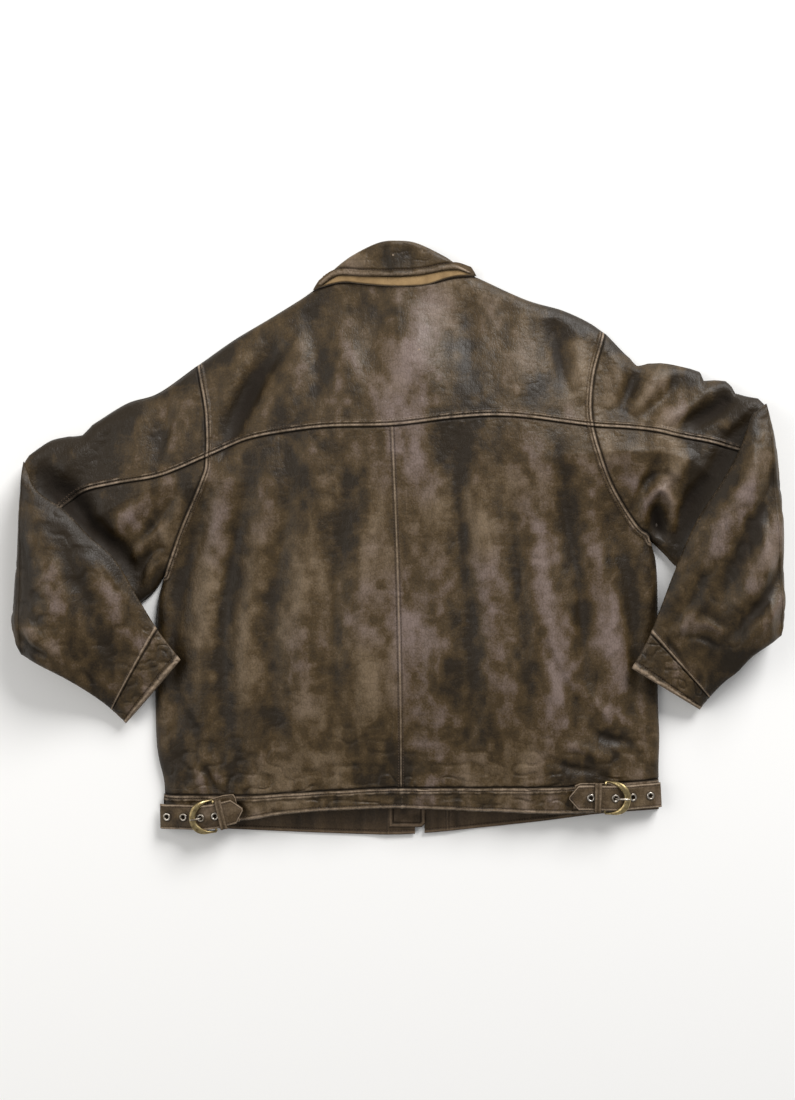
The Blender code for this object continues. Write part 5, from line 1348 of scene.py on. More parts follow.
def collar_inside():
    """The collar as seen from the neck side: a stand of leather from the neck seam up to the fold."""
    neck, top = Curve(NECK_SEAM), Curve(COLLAR_TOP)
    high = Curve(top(np.linspace(0.02, 0.98, 11)) - (0, 0.0004))
    ends = Curve([neck(0), high(0)]), Curve([neck(1), high(1)])
    plan = patch(neck, high, *ends, steps(0.215, coarse=0.003), steps(0.05, coarse=0.003))
    height = back_height(plan) - 0.0006 + 0.0004 * noise(plan, 0.012, None, 121)
    rim = nearest(plan, high, 90)[0]
    height = np.maximum(height - 0.0040 * (1 - crown(rim, 0.006)), 0.0060)
    made = grid("collar_stand_skin", lifted(plan, height), INNER_LEATHER, None,
                {"tone": np.full(height.shape, 0.4)}, flip=True)
    lift(made)


def collar_fronts():
    for side in (-1, 1):
        low, high = FRONT_NECK[side], FRONT_COLLAR[side]
        ends = Curve([low(0), high(0)]), Curve([low(1), high(1)])
        plan = patch(low, high, *ends, steps(0.13, True, True, 0.002), steps(0.09, True, True, 0.002))
        height = front_height(plan) + 0.0026 + 0.0006 * noise(plan, 0.02, None, 131)
        points, values = lifted(plan, height), {"tone": np.full(height.shape, 0.4),
                                                "wear": 0.5 * bell(nearest(plan, high, 60)[0], 0.003)}
        for border in ("low", "high", "first", "last"):
            points, values = skirt(points, values, border, 0.0, 0.0008, to_z=0.0004)
        made = grid(f"collar_front_{NAMES[side]}_skin", points, INNER_LEATHER, "shell", values, flip=side > 0)
        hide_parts(f"collar_front_{NAMES[side]}")
        leather_sheet(made)


# ---------------------------------------------------------------- waist adjusters
STRAP_HALF = 0.016
STRAP_THICK = 0.0022
BAR_LIFT = 0.0043
FRAME_HALF = 0.0206
ARC_REACH = 0.0290
ARC_LIFT = 0.0125
ADJUSTERS = {
    "left": {
        "line": [(-0.3145, -0.366), (-0.283, -0.3655), (-0.259, -0.3655), (-0.240, -0.363), (-0.204, -0.354)],
        "bar": (-0.2415, -0.3635),
        "holes": (-0.063, -0.041, -0.0175, 0.0015),
        "tip": 0.0385,
        "keeper": 0.0095,
    },
    "right": {
        "line": [(0.3475, -0.337), (0.300, -0.3395), (0.273, -0.3393), (0.253, -0.3388), (0.2235, -0.339)],
        "bar": (0.272, -0.3395),
        "holes": (-0.060, -0.036, -0.0125, 0.0195),
        "tip": 0.0480,
        "keeper": 0.0105,
    },
}
PRONG_HOLE = 2


def strap_rise(x):
    """How far the strap lies above the waistband: it climbs over the buckle's bar."""
    along = (-0.072, -0.050, -0.026, -0.013, 0.0, 0.012, 0.028, 0.060)
    return np.interp(x, along, (0.0006, 0.0014, 0.0062, 0.0082, 0.0088, 0.0080, 0.0062, 0.0054))


class Strap:
    """The frame of an adjuster: x from the buckle's bar to the strap's tip, y across, z up from the waistband."""

    def __init__(self, side):
        self.side = side
        self.name = NAMES[side]
        self.data = ADJUSTERS[self.name]
        self.line = Curve(self.data["line"])
        self.start = self.line.share_at(self.data["bar"]) * self.line.length
        self.low_x = -self.start
        here = self.at(0.0, 0.0, BAR_LIFT)
        hole = self.at(self.data["holes"][PRONG_HOLE], 0.0, BAR_LIFT)
        self.flat = Matrix.Translation(here) @ Matrix.Rotation(math.atan2(here[1] - hole[1],
                                                                          here[0] - hole[0]), 4, "Z")

    def plan(self, x, y):
        share = (np.asarray(x) + self.start) / self.line.length
        run = self.line(np.minimum(share + 0.02, 1.0)) - self.line(np.minimum(share + 0.02, 1.0) - 0.04)
        run = run / np.linalg.norm(run, axis=-1, keepdims=True)
        beyond = np.maximum(share - 1, 0)[..., None] * self.line.length
        normal = np.stack([-run[..., 1], run[..., 0]], -1)
        return self.line(share) + run * beyond + normal * np.asarray(y)[..., None]

    def at(self, x, y, z):
        x, y, z = np.broadcast_arrays(*(np.asarray(v, float) for v in (x, y, z)))
        further = 0.006 * (1 - ease((x - self.low_x) / 0.03))
        base = back_height(self.plan(x + further, y * 0))
        return lifted(self.plan(x, y), base + z)

    def frame_at(self, x, z):
        """A matrix at x on the strap, tipped with the strap's slope."""
        step = 0.004
        run = self.at(x + step, 0, strap_rise(x + step)) - self.at(x - step, 0, strap_rise(x - step))
        side = self.at(x, step, z) - self.at(x, -step, z)
        run = run / np.linalg.norm(run)
        side = side - run * float(np.dot(run, side))
        side = side / np.linalg.norm(side)
        made = Matrix.Identity(4)
        for row in range(3):
            for column, way in enumerate((run, side, np.cross(run, side), self.at(x, 0, z))):
                made[row][column] = way[row]
        return made


def strap_piece(strap):
    """The tapered strap: crowned leather with a cut edge, a stitch groove and dished eyelet places."""
    tip, low, point = strap.data["tip"], strap.low_x + 0.0006, 0.0125
    x = low + steps(tip - low, True, True, 0.0010, 0.004) * (tip - low)
    half = np.where(x > tip - point, STRAP_HALF * (0.12 + 0.88 * (tip - x) / point), STRAP_HALF)
    across = np.sin(np.pi / 2 * np.linspace(-1, 1, 41))
    xs, ys = np.repeat(x[:, None], 41, 1), half[:, None] * across[None]
    from_side = half[:, None] * (1 - np.abs(across[None]))
    from_edge = np.minimum(from_side, (tip - xs) * 1.2 + 0.0004)
    place_xy = np.stack([xs, ys + strap.side], -1)
    wrinkle = 0.00035 * noise(place_xy, 0.007, None, 141) + 0.00025 * (crumple(place_xy, 0.005, 142) - 0.5)
    lift = (strap_rise(xs) + STRAP_THICK + wrinkle - 0.0011 * (1 - crown(from_edge, 0.0016))
            - 0.0005 * bell(from_edge - 0.0030, 0.0005))
    wear = 0.95 * bell(from_edge - 0.0010, 0.0011) + 0.25 * np.clip(wrinkle / 0.0003, 0, 1)
    # Painted shade in the stitch groove.
    dark_seams_and_shade = 0.70 * bell(from_edge - 0.0030, 0.0004)
    tone = 0.55 + 0.35 * noise(place_xy, 0.012, None, 143)
    for hole in strap.data["holes"]:
        around = np.hypot(xs - hole, ys)
        lift = lift - 0.0004 * bell(around, 0.007)
        # Painted shade round each eyelet and inside the hole.
        dark_seams_and_shade = np.maximum(dark_seams_and_shade, 0.7 * bell(around - 0.0056, 0.0008))
        dark_seams_and_shade = np.maximum(dark_seams_and_shade, 1.0 * (around < 0.0028))
        lift = np.where(around < 0.0027, lift - 0.0020, lift)
    values = {"tone": tone, "wear": wear, "dark_seams_and_shade": dark_seams_and_shade}
    points = strap.at(xs, ys, lift)
    for border in ("low", "high", "first", "last"):
        points, values = skirt(points, values, border, 0.0020, 0.0003)
    made = grid(f"{strap.name}_strap_skin", points, EDGE_LEATHER, "shell", values)
    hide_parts(f"{strap.name}_adjuster_strap")
    leather_sheet(made)

    def rows(points):
        return points, None

    lines = []
    for sign in (-1, 1):
        count = int((tip - point - low - 0.006) / 0.0034)
        along = low + 0.006 + np.arange(count) * 0.0034
        ends = [strap.at(along + d, np.full(count, sign * (STRAP_HALF - 0.0030)),
                         strap_rise(along + d) + STRAP_THICK - 0.0003)
                for d in (-0.0011, 0.0, 0.0011)]
        lines.append(np.stack(ends, 1))
        share = (np.arange(5) + 0.7) / 5.6
        start, stop = np.array([tip - point, sign * (STRAP_HALF - 0.0030)]), np.array([tip - 0.0034, 0.0])
        way = (stop - start) / np.linalg.norm(stop - start)
        spots = [start + (stop - start) * t for t in share]
        ends = []
        for d in (-0.0011, 0.0, 0.0011):
            p = np.array([spot + way * d for spot in spots])
            ends.append(strap.at(p[:, 0], p[:, 1], strap_rise(p[:, 0]) + STRAP_THICK - 0.0003))
        lines.append(np.stack(ends, 1))
    STITCHES.setdefault("shell", []).append(np.concatenate(lines))


def turned(name, profile, finish, body, matrix, count=40):
    """A ring turned from a closed profile of (radius, height)."""
    profile = np.array(profile)
    angles = np.linspace(0, 2 * math.pi, count, endpoint=False)
    points = np.stack([np.stack([profile[:, 0] * math.cos(a), profile[:, 0] * math.sin(a), profile[:, 1]],
                                -1) for a in angles])
    flat = points.reshape(-1, 3) @ np.array(matrix.to_3x3()).T + np.array(matrix.translation)
    return grid(name, flat.reshape(points.shape), finish, body, close_rows=True, close_columns=True)


def eyelets(strap):
    top = STRAP_THICK + 0.0002
    outline = [(0.0027 + 0.0000, -0.0006)]
    for turn in np.linspace(180, 0, 11):
        a = math.radians(turn)
        outline.append((0.0039 + 0.0012 * math.cos(a), top + 0.0001 + 0.0009 * math.sin(a)))
    outline += [(0.0050, top - 0.0005), (0.0032, top - 0.0006), (0.0032, -0.0006)]
    for n, hole in enumerate(strap.data["holes"]):
        made = turned(f"{strap.name}_eyelet_{n + 1}_skin", outline, NICKEL, "shell",
                      strap.frame_at(hole, strap_rise(hole)))
        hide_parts(f"{strap.name}_eyelet_{n + 1}")


def tube(name, path, radii, finish, body, count=16, flat=1.0, cyclic=False):
    """A round or flattened bar along a path; radii is one per point of the path."""
    path = np.array(path, float)
    run = np.roll(path, -1, 0) - np.roll(path, 1, 0) if cyclic else np.gradient(path, axis=0)
    run = run / np.linalg.norm(run, axis=-1, keepdims=True)
    side = np.cross(run, (0, 0, 1.0))
    side = side / np.maximum(np.linalg.norm(side, axis=-1, keepdims=True), 1e-6)
    up = np.cross(side, run)
    radii = np.broadcast_to(radii, len(path))[:, None]
    rings = []
    for turn in np.linspace(0, 2 * math.pi, count, endpoint=False):
        rings.append(path + side * math.cos(turn) * radii + up * math.sin(turn) * radii * flat)
    points = np.stack(rings, 1)
    if cyclic:
        return grid(name, points, finish, body, flip=True, close_rows=True, close_columns=True)
    caps = [path[:1, None] + points[:1] * 0, points, path[-1:, None] + points[-1:] * 0]
    return grid(name, np.concatenate(caps, 0), finish, body, flip=True, close_columns=True)


def buckle(strap):
    """A D of flat bevelled metal: a round bar under the strap and a broad crescent over it."""
    matrix, body = strap.flat, f"{strap.name}_buckle"
    turn3, shift = np.array(matrix.to_3x3()).T, np.array(matrix.translation)
    rise = ARC_LIFT - BAR_LIFT
    rings = []
    count = 72
    for n in range(count + 1):
        turn = math.pi * n / count
        reach = math.sin(turn) ** 0.75
        centre = np.array([-ARC_REACH * reach + 0.0007 * reach, -FRAME_HALF * math.cos(turn),
                           rise * float(ease(reach * 1.1))])
        out = np.array([-math.sin(turn) * FRAME_HALF, -math.cos(turn) * ARC_REACH, 0.0])
        out = out / np.linalg.norm(out)
        wide = 0.0017 + 0.0027 * float(ease((reach - 0.15) / 0.7))
        thick = 0.0016
        profile = [(-1, -0.5), (-0.92, 0.15), (-0.70, 0.65), (-0.30, 0.95), (0.15, 1.0), (0.60, 0.75),
                   (0.90, 0.25), (1, -0.4),
                   (0.75, -0.85), (0.2, -1.0), (-0.4, -1.0), (-0.85, -0.85)]
        rings.append([centre + out * p * wide + np.array([0, 0, q * thick]) for p, q in profile])
    points = np.array(rings)
    flat = points.reshape(-1, 3) @ turn3 + shift
    ring = grid(f"{strap.name}_buckle_frame_skin", flat.reshape(points.shape), BRASS, body,
                flip=False, close_columns=True)
    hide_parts(f"{strap.name}_buckle_frame")
    path = np.array([(0, y, 0) for y in np.linspace(FRAME_HALF, -FRAME_HALF, 12)]) @ turn3 + shift
    tube(f"{strap.name}_buckle_bar", path, 0.0016, BRASS, body)
    hole = strap.data["holes"][PRONG_HOLE]
    base = float(strap_rise(hole)) - BAR_LIFT
    hook = [(0.0029 * math.cos(a), 0.0,
             0.0029 * math.sin(a)) for a in np.radians((60, 40, 20, 0, -20, -40, -60, -80, -100, -120, -140))]
    stem = [(-0.0055, 0, -0.0010), (hole + 0.0012, 0, base - 0.0042), (hole + 0.0003, 0, base - 0.0022),
            (hole + 0.0001, 0, base + STRAP_THICK + 0.0014), (hole - 0.0022, 0, base + STRAP_THICK + 0.0042),
            (hole - 0.0060, 0, base + STRAP_THICK + 0.0056), (-ARC_REACH - 0.0022, 0, rise + 0.0032)]
    path = Curve(hook + stem, 8).part(0, 1, 70).points @ turn3 + shift
    radii = np.interp(np.linspace(0, 1, 70), (0, 0.45, 0.60, 0.85, 0.96, 1),
                      (0.0010, 0.0009, 0.0009, 0.0014, 0.0012, 0.0007))
    prong = tube(f"{strap.name}_buckle_prong_skin", path, radii, NICKEL, body)
    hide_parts(f"{strap.name}_buckle_prong")


def keeper(strap):
    """A leather loop round the strap: two rolled edges with a groove between."""
    centre = strap.data["keeper"]
    rise = float(strap_rise(centre))
    half, low, high = STRAP_HALF + 0.0022, rise - 0.0016, rise + STRAP_THICK + 0.0028
    outline = []
    for turn in np.linspace(0, 2 * math.pi, 72, endpoint=False):
        c, s = math.cos(turn), math.sin(turn)
        y = half * math.copysign(abs(c) ** 0.30, c)
        outline.append((y, (low + high) / 2 + (high - low) / 2 * math.copysign(abs(s) ** 0.55, s)))
    outline = np.array(outline)
    middle = np.array([0.0, (low + high) / 2])
    section = [(-0.0045, 0.0), (-0.0044, 0.0009), (-0.0036, 0.0015), (-0.0022, 0.0014), (-0.0010, 0.0011),
               (0.0, 0.0010),
               (0.0010, 0.0011), (0.0022, 0.0014), (0.0036, 0.0015), (0.0044, 0.0009), (0.0045, 0.0),
               (0.0040, -0.0004),
               (-0.0040, -0.0004)]
    rows = []
    for x, out in section:
        way = outline - middle
        way = way / np.linalg.norm(way, axis=-1, keepdims=True)
        ring = outline + way * out
        rows.append(strap.at(np.full(len(ring), centre + x), ring[:, 0], ring[:, 1]))
    points = np.stack(rows, 0)
    across = np.array([p[0] for p in section])[:, None] * np.ones(len(outline))
    outside = np.array([p[1] for p in section])[:, None] * np.ones(len(outline))
    wear = 0.75 * bell(np.abs(across) - 0.0030, 0.0013) * (outside > 0.0005)
    # Painted shade in the groove between the rolled edges.
    dark_seams_and_shade = 0.6 * bell(across, 0.0006) * (outside > 0)
    made = grid(f"{strap.name}_strap_keeper_skin", points, EDGE_LEATHER, "shell", {"wear": wear, "dark_seams_and_shade": dark_seams_and_shade,
                "tone": np.full(wear.shape, 0.6)}, flip=True, close_rows=True, close_columns=True)
    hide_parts(f"{strap.name}_strap_keeper")


def anchor_patch(strap):
    """The stitched patch under the strap's tip that holds the bar."""
    if strap.side < 0:
        corners = [(-0.010, -0.0150), (0.0305, -0.0155), (0.0330, 0.0165), (0.0310, 0.0215),
                   (0.0180, 0.0235), (-0.010, 0.0220)]
    else:
        corners = [(-0.010, -0.0180), (0.0330, -0.0185), (0.0400, -0.0160), (0.0420, 0.0150),
                   (-0.010, 0.0150)]
    ring = Curve([*corners, corners[0]], 10)
    ring.measure(np.array([*corners, corners[0]], float))
    turn = np.linspace(0, 1, 150, endpoint=False)
    outline, centre = ring(turn), np.mean(corners, axis=0)
    rows, wear, dark_seams_and_shade = [], [], []
    for share in (1.0, 1.0, 0.985, 0.95, 0.91, 0.88, 0.85, 0.80, 0.70, 0.50, 0.25, 0.02):
        p = centre + (outline - centre) * share
        inside = (1 - share) * 0.020
        z = 0.0018 - 0.0010 * (1 - crown(inside, 0.0014)) - 0.0005 * float(bell(inside - 0.0026, 0.0005))
        if len(rows) == 0:
            z = -0.0006
        world = strap.plan(p[:, 0], p[:, 1])
        inner_line = back_surface(world, [])[0]
        rows.append(lifted(world, inner_line + z + 0.0006))
        wear.append(np.full(150, 0.9 * float(bell(inside - 0.0008, 0.0010))))
        # Painted shade in the stitch groove.
        dark_seams_and_shade.append(np.full(150, 0.7 * float(bell(inside - 0.0026, 0.0005))))
    made = grid(f"{strap.name}_anchor_patch", np.stack(rows), EDGE_LEATHER, "shell",
                {"wear": np.stack(wear), "dark_seams_and_shade": np.stack(dark_seams_and_shade), "tone": np.full((12, 150), 0.5)},
                flip=False, close_columns=True)
    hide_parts(f"{strap.name}_buckle_anchor")


def adjusters():
    for side in (-1, 1):
        strap = Strap(side)
        anchor_patch(strap)
        strap_piece(strap)
        eyelets(strap)
        buckle(strap)
        keeper(strap)


# ---------------------------------------------------------------- fronts, zip and linings
def front_inside(points):
    """The inner face of the front's lower edge, seen below the back's waistband: gathers and seam puckers."""
    x = points[..., 0]
    gather = noise(np.stack([x, points[..., 1] * 0.2], -1), 0.013, 0.03, 151)
    gather = gather + 0.7 * noise(np.stack([x, points[..., 1] * 0.2], -1), 0.006, 0.03, 152)
    return gather


def front_panels():
    hem = Curve(FRONT_HEM)
    for side in (-1, 1):
        name = NAMES[side]
        zip_x = ZIP_X + side * 0.006
        low = hem.part(0 if side < 0 else 1, hem.share_at((zip_x, -0.388)))
        band_top = Curve(low(np.linspace(0, 1, 6)) + (0, FRONT_BAND))
        start = SIDE[side].share_at(band_top(0))
        bottom = Curve(np.vstack([SIDE[side](start), band_top(np.linspace(0.15, 1, 5))]))
        outer = joined(SIDE[side].part(start, 1), ARMHOLE[side])
        inner = Curve([bottom(1), FRONT_NECK[side](1)])
        top = joined(SHOULDER[side], FRONT_NECK[side])
        plan = patch(bottom, top, outer, inner, steps(0.33, coarse=0.004), steps(0.65, coarse=0.005))
        rise = np.maximum(front_height(plan) + 0.0006 * noise(plan, 0.05, None,
                                                              161) * crown(distance_to(plan, EDGES), 0.02),
                                                              0.0)
        made = grid(f"front_panel_{name}_skin", lifted(plan, rise), LEATHER, "shell",
                    {"tone": np.full(rise.shape, 0.5)}, flip=side > 0)
        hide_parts(f"front_panel_{name}")
        leather_sheet(made)
        front_band(side, name, low, bottom)


def front_band(side, name, low, bottom):
    """The front's waistband: outer face on the floor, rolled hem, and the gathered facing seen from behind."""
    ends = Curve([low(0), bottom(0)]), Curve([low(1), bottom(1)])
    plan = patch(low, bottom, *ends, steps(0.33, coarse=0.0012), steps(0.046, True, False, 0.0012, 0.006))
    outer = np.maximum(front_height(plan), 0.0)
    from_hem = nearest(plan, low, 80)[0]
    gather = front_inside(plan)
    inner = outer + 0.0030 + 0.0009 * gather * ease(from_hem / 0.006) + 0.0008 * ease(from_hem / 0.02)
    inner = inner - 0.0006 * bell(from_hem - 0.0040, 0.0006)
    seams_x = (-0.0125, 0.0655) if side > 0 else (-0.0125,)
    wear = 0.85 * bell(from_hem - 0.0010, 0.0014) + 0.25 * np.clip(gather, 0, 1)
    # Painted shade in the stitch groove.
    dark_seams_and_shade = 0.7 * bell(from_hem - 0.0040, 0.0005)
    for x in seams_x:
        inner = inner + 0.0010 * bell(plan[..., 0] - x, 0.0012)
        wear = np.maximum(wear, 0.55 * bell(plan[..., 0] - x, 0.0008))
        # Painted shade on both sides of each raised seam.
        dark_seams_and_shade = np.maximum(dark_seams_and_shade, 0.55 * bell(np.abs(plan[..., 0] - x) - 0.0020, 0.0006))
    top = lifted(plan, inner)
    under = lifted(plan, outer)
    # The facing's tone follows its gathers: painted light on the ridges, painted shade in the hollows.
    rows, parts = [top[:, ::-1]], [{"tone": (0.46 + 0.22 * gather)[:, ::-1], "wear": wear[:, ::-1],
                                    "dark_seams_and_shade": dark_seams_and_shade[:, ::-1]}]
    rim, floor = top[:, 0], under[:, 0]
    away = plan[:, 0] - plan[:, 2]
    away = away / np.linalg.norm(away, axis=-1, keepdims=True)
    for turn in np.radians((35, 70, 110, 145)):
        row = rim + (floor - rim) * (1 - math.cos(turn)) / 2
        row[:, :2] += away * 0.0014 * math.sin(turn)
        rows.append(row[:, None])
        parts.append({"tone": np.full((len(row), 1), 0.6), "wear": np.full((len(row), 1), 0.5),
                      "dark_seams_and_shade": np.zeros((len(row), 1))})
    rows.append(under)
    parts.append({"tone": np.full(under.shape[:2], 0.5), "wear": np.zeros(under.shape[:2]),
                  "dark_seams_and_shade": np.zeros(under.shape[:2])})
    made = grid(f"front_hem_band_{name}_skin", np.concatenate(rows, 1), INNER_LEATHER, "shell",
                joined_values(*parts), flip=side < 0)
    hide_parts(f"front_hem_band_{name}")
    leather_sheet(made)

    def surface(points):
        d = nearest(points, low, 60)[0]
        return front_height(points) + 0.0032 + 0.0008 * front_inside(points) * ease(d / 0.006), None

    stitch_rows("shell", low, surface, (0.0040,), sign=-side, pitch=0.0036)


def zip_pieces():
    """Tapes, single teeth, slider and pull; the guard behind them has a rolled leather rim."""
    low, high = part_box("zip_teeth_left")
    for side in (-1, 1):
        name = NAMES[side]
        zip_tape(side, name)
        pitch = 0.0026
        count = int((high[1] - low[1]) / pitch)
        y = low[1] + (np.arange(count) + (0.25 if side < 0 else 0.75)) * pitch
        shape = np.array([(x, dy, z) for x in (0, 1) for dy in (-1, 1) for z in (0, 1)], float)
        corner = np.empty((count, 8, 3))
        reach = np.where(shape[:, 0] > 0, 0.0042, -0.0009)
        corner[..., 0] = ZIP_X + side * reach[None]
        corner[..., 1] = y[:, None] + shape[None, :, 1] * 0.00060
        corner[..., 2] = low[2] + 0.0002 + shape[None, :, 2] * (high[2] - low[2] - 0.0002)
        quads = np.array([(0, 1, 3, 2), (4, 6, 7, 5), (0, 4, 5, 1), (2, 3, 7, 6), (0, 2, 6, 4), (1, 5, 7, 3)])
        quads = quads if side > 0 else quads[:, ::-1]
        faces = (quads[None] + (np.arange(count) * 8)[:, None, None]).reshape(-1, 4)
        teeth = mesh_object(f"zip_teeth_{name}_skin", corner.reshape(-1, 3), faces, BRASS, "shell")
        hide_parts(f"zip_teeth_{name}")
    for node_name in ("zip_slider", "zip_pull"):
        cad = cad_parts[node_name]
        cad.data.materials.clear()
        cad.data.materials.append(BRASS)
    zip_guard()


def zip_tape(side, name):
    """A woven tape with a cord along its inner edge, ribbed along its length and a little wavy at its rim."""
    low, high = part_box(f"zip_tape_{name}")
    wide, middle, half = high[0] - low[0], (low[2] + high[2]) / 2, (high[2] - low[2]) / 2
    across = np.array((0.0, 0.03, 0.08, 0.13, 0.17, 0.3, 0.45, 0.6, 0.75, 0.88, 0.95, 1.0))
    thick = half * np.where(across < 0.15, 1.0, 0.62) * np.where((across == 0) | (across == 1), 0.3, 1.0)
    share = np.concatenate([across, across[::-1]])
    thick = np.concatenate([thick, -thick[::-1]])
    y = np.linspace(low[1], high[1], 320)[:, None]
    rim = 0.00025 * noise(np.stack([y[:, 0], np.zeros(len(y))], -1), 0.018, None, 181 + side)[:, None]
    reach = share[None] * (wide + np.minimum(rim, 0) * (share[None] > 0.9))
    x = (low[0] + reach) if side > 0 else (high[0] - reach)
    rib = 1 - 0.10 * (1 + np.sin(share[None] * 46 + 0 * y))
    closed = np.ones(len(y))
    closed[0] = closed[-1] = 0.05
    z = middle + thick[None] * rib * closed[:, None]
    made = grid(f"zip_tape_{name}_skin", np.stack([x, y + 0 * x, z], -1), TAPE, "shell", flip=side < 0,
                close_columns=True)
    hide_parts(f"zip_tape_{name}")


def hanger_loop():
    """A strip of leather rolled and sewn into a cord, its ends pressed flat under the collar seam."""
    t = np.linspace(0, 1, 90)
    x, y = -0.036 + 0.064 * t, 0.326 + 0.010 * np.sin(np.pi * t)
    low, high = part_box("hanger_loop")
    middle = np.stack([x, y], -1)
    z = back_height(middle, distance_to(middle, EDGES)) - 0.0075 - 0.004 * np.sin(np.pi * t)
    z = np.clip(z, low[2] + 0.0015, high[2] - 0.0015)
    along = np.gradient(middle, axis=0)
    side = np.stack([-along[:, 1], along[:, 0]], -1) / np.linalg.norm(along, axis=-1, keepdims=True)
    turn = np.linspace(0, 2 * np.pi, 16, endpoint=False)
    ends = bell(t, 0.05) + bell(t - 1, 0.05)
    radius = 0.00145 * (1 - 0.16 * bell(turn[None] - np.pi / 2, 0.28)) * (1 + 0.05 * np.sin(t * 60)[:, None])
    flat = 1 - 0.45 * ends[:, None]
    closed = np.ones((len(t), 1))
    closed[0] = closed[-1] = 0.05
    points = np.empty((len(t), len(turn), 3))
    points[..., :2] = middle[:, None] + side[:, None] * (np.cos(turn) * radius * closed)[..., None]
    points[..., 2] = z[:, None] + np.sin(turn) * radius * flat * closed
    values = {"tone": 0.5 + 0 * radius, "wear": 0.5 * bell(turn[None] - np.pi / 2, 0.7) + 0 * radius,
              "dark_seams_and_shade": 0.8 * bell(turn[None] - np.pi / 2, 0.2) + 0 * radius}
    made = grid("hanger_loop_skin", points, INNER_LEATHER, "shell", values, close_columns=True)
    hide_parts("hanger_loop")


def zip_guard():
    low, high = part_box("zip_guard")
    radius = 0.0085
    base = high[2]
    left, right = low[0] + 0.0006, high[0] + 0.0006
    xs, ys = left + steps(right - left, True, True, 0.0012, 0.007) * (right - left), None
    ys = low[1] - 0.0004 + steps(high[1] - low[1], True, False, 0.004, 0.02) * (high[1] - low[1])
    plan = np.stack(np.meshgrid(xs, ys, indexing="ij"), -1)
    beyond_x, beyond_y = np.maximum(plan[..., 0] - (right - radius),
                                    0), np.maximum((ys[0] + radius) - plan[..., 1], 0)
    outside = np.hypot(beyond_x, beyond_y)
    pull = np.where((beyond_x > 0) & (beyond_y > 0) & (outside > radius),
                    radius / np.maximum(outside, 1e-9), 1.0)
    plan[..., 0] = np.where(beyond_x > 0, right - radius + beyond_x * pull, plan[..., 0])
    plan[..., 1] = np.where(beyond_y > 0, ys[0] + radius - beyond_y * pull, plan[..., 1])
    rounded = np.where((beyond_x > 0) & (beyond_y > 0), radius - np.minimum(outside, radius), 9.0)
    rim = np.minimum(np.minimum(plan[..., 0] - left, right - plan[..., 0]), plan[..., 1] - ys[0])
    rim = np.minimum(rim, rounded)
    z = (base + 0.0012 * bell(rim - 0.0030, 0.0026) - 0.0010 * bell(rim - 0.0062, 0.0008)
         - 0.0016 * (1 - crown(rim, 0.0020)))
    z = z + 0.0007 * noise(plan, 0.009, None, 171) * ease(rim / 0.008)
    # Painted shade in the stitch groove.
    values = {"tone": 0.5 + 0.3 * noise(plan, 0.008, None, 172), "wear": 0.85 * bell(rim - 0.0028, 0.0024),
              "dark_seams_and_shade": 0.85 * bell(rim - 0.0063, 0.0008)}
    points, values = skirt(lifted(plan, z), values, "low", 0.0026, 0.0004)
    points, values = skirt(points, values, "first", 0.0026, 0.0004)
    points, values = skirt(points, values, "last", 0.0026, 0.0004)
    made = grid("zip_guard_skin", points, INNER_LEATHER, "shell", values)
    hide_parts("zip_guard")
    leather_sheet(made)


def lining_sheets():
    """The body's lining: a back sheet close under the leather and two front sheets lying on the fronts."""
    band, neck = Curve(BAND_TOP), Curve(NECK_SEAM)
    rims = {}
    for side in (-1, 1):
        start = SIDE[side].share_at(BAND_TOP[0] if side < 0 else BAND_TOP[-1])
        outer = joined(SIDE[side].part(start, 1), ARMHOLE[side])(np.linspace(0, 1, 16))
        rims[side] = Curve(outer - (side * 0.016, 0))
    low = [rims[-1](0), *band(np.linspace(0.1, 0.9, 9)), rims[1](0)]
    bottom = Curve(np.vstack(low) + (0, 0.006))
    shoulder = [SHOULDER[-1](t) + (0.012, -0.018) for t in (0.05, 0.4, 0.8)]
    shoulder_right = [SHOULDER[1](t) + (-0.012, -0.018) for t in (0.8, 0.4, 0.05)]
    top = Curve([*shoulder, *(neck(np.linspace(0.15, 0.85, 5)) - (0, 0.016)), *shoulder_right])
    left = Curve(np.vstack([bottom(0), rims[-1](np.linspace(0.1, 0.9, 9)), top(0)]))
    right = Curve(np.vstack([bottom(1), rims[1](np.linspace(0.1, 0.9, 9)), top(1)]))
    plan = patch(bottom, top, left, right, np.linspace(0, 1, 150), np.linspace(0, 1, 150))
    d = distance_to(plan, EDGES)
    height = back_height(plan, d) + back_folds(plan, d) - 0.0050 - 0.0010 * (1 + noise(plan, 0.02, 0.09, 175))
    height = np.maximum(height, front_height(plan, d) + 0.0052)
    lining_sheet("back_lining", lifted(plan, height), "shell")
    for side in (-1, 1):
        facing = -0.017 if side < 0 else 0.0475
        edge = Curve([(facing, -0.335), (facing, 0.236)])
        outer = Curve(rims[side](np.linspace(0.02, 0.93, 12)))
        low = Curve([outer(0), edge(0)])
        shoulder = SHOULDER[side](0.5) - (side * 0.006, 0.026)
        neck_side = FRONT_NECK[side](0.25) - (side * 0.014, 0.020)
        neck_low = Curve([outer(1), shoulder, neck_side, edge(1)])
        plan = patch(low, neck_low, outer, edge, np.linspace(0, 1, 60), np.linspace(0, 1, 90))
        height = front_height(plan) + 0.0030 + 0.0007 * (1 + noise(plan, 0.02, 0.09, 176))
        lining_sheet(f"front_lining_{NAMES[side]}", lifted(plan, height), "shell",
                     side < 0)


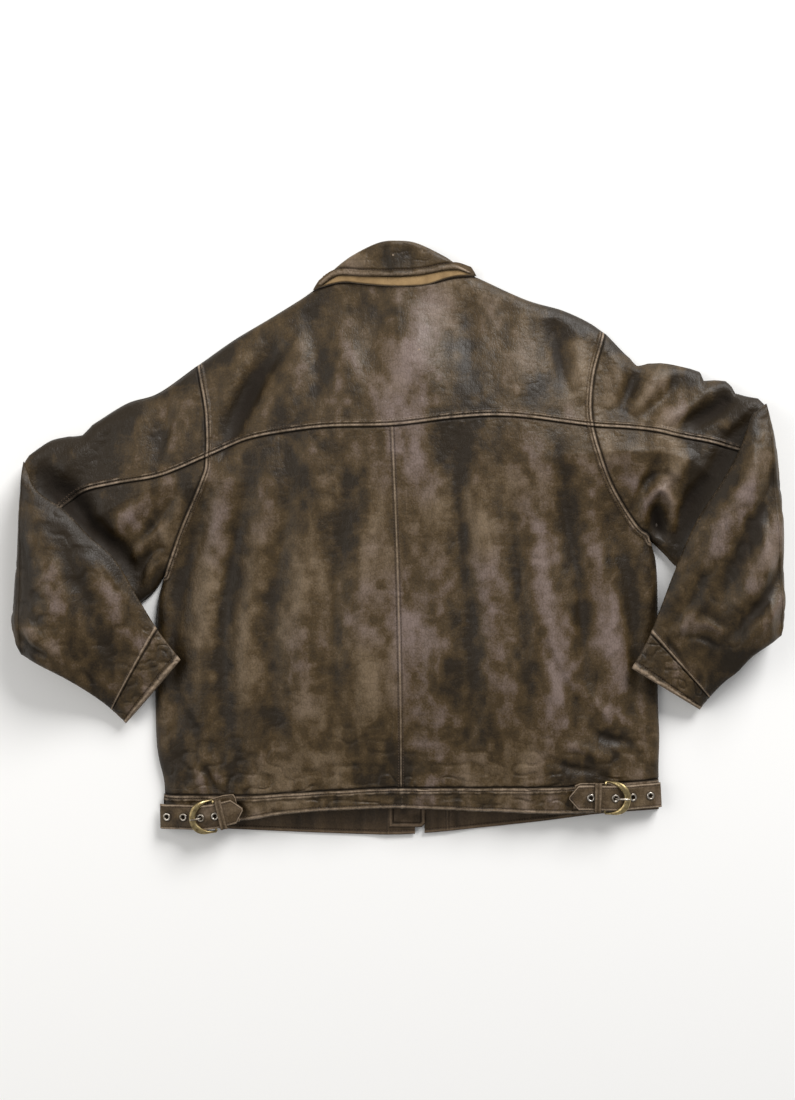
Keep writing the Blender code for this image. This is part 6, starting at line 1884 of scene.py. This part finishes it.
# ---------------------------------------------------------------- floor, light and camera
def stage():
    mesh = bpy.data.meshes.new("floor")
    reach = 6.0
    mesh.from_pydata([(-reach, -reach, 0), (reach, -reach, 0), (reach, reach, 0), (-reach, reach, 0)], [],
                     [(0, 1, 2, 3)])
    floor = bpy.data.objects.new("floor", mesh)
    floor.location.z = -0.0008
    pale, _, shader = tree("pale_floor", 0.9)
    shader.inputs["Base Color"].default_value = (0.90, 0.90, 0.89, 1)
    floor.data.materials.append(pale)
    bpy.context.scene.collection.objects.link(floor)
    for name, place, size, power, colour in (
        ("key", (2.1, 3.5, 2.7), 2.3, 285, (1.0, 0.99, 0.985)),
        ("fill", (-2.4, 0.4, 2.0), 2.2, 36, (1.0, 0.97, 0.93)),
    ):
        lamp = bpy.data.lights.new(name, "AREA")
        lamp.energy, lamp.size, lamp.color = power, size, colour
        made = bpy.data.objects.new(name, lamp)
        made.location = place
        made.rotation_euler = (Vector((0, 0, 0.02)) - Vector(place)).to_track_quat("-Z", "Y").to_euler()
        bpy.context.scene.collection.objects.link(made)
    world = bpy.data.worlds.new("studio")
    world.use_nodes = True
    world.node_tree.nodes["Background"].inputs["Color"].default_value = (1, 1, 1, 1)
    world.node_tree.nodes["Background"].inputs["Strength"].default_value = 0.36
    bpy.context.scene.world = world
    bpy.context.scene.view_settings.view_transform = "Standard"
    camera = bpy.data.objects.new("camera", bpy.data.cameras.new("camera"))
    camera.data.lens = 50
    camera.data.sensor_fit = "VERTICAL"
    camera.data.sensor_height = 36
    camera.location = (-0.0007, -0.0143, 2.03)
    bpy.context.scene.collection.objects.link(camera)
    bpy.context.scene.camera = camera


yoke()
back_panels()
hem_band()
for arm_side in (-1, 1):
    upper_sleeve(arm_side)
    forearm(arm_side)
sleeve_linings()
collar_leaf()
undercollar()
collar_inside()
collar_fronts()
adjusters()
front_panels()
zip_pieces()
lining_sheets()
hanger_loop()
sew_all()
stage()


def corners(pair):
    return [[round(float(v), 5) for v in corner] for corner in pair]
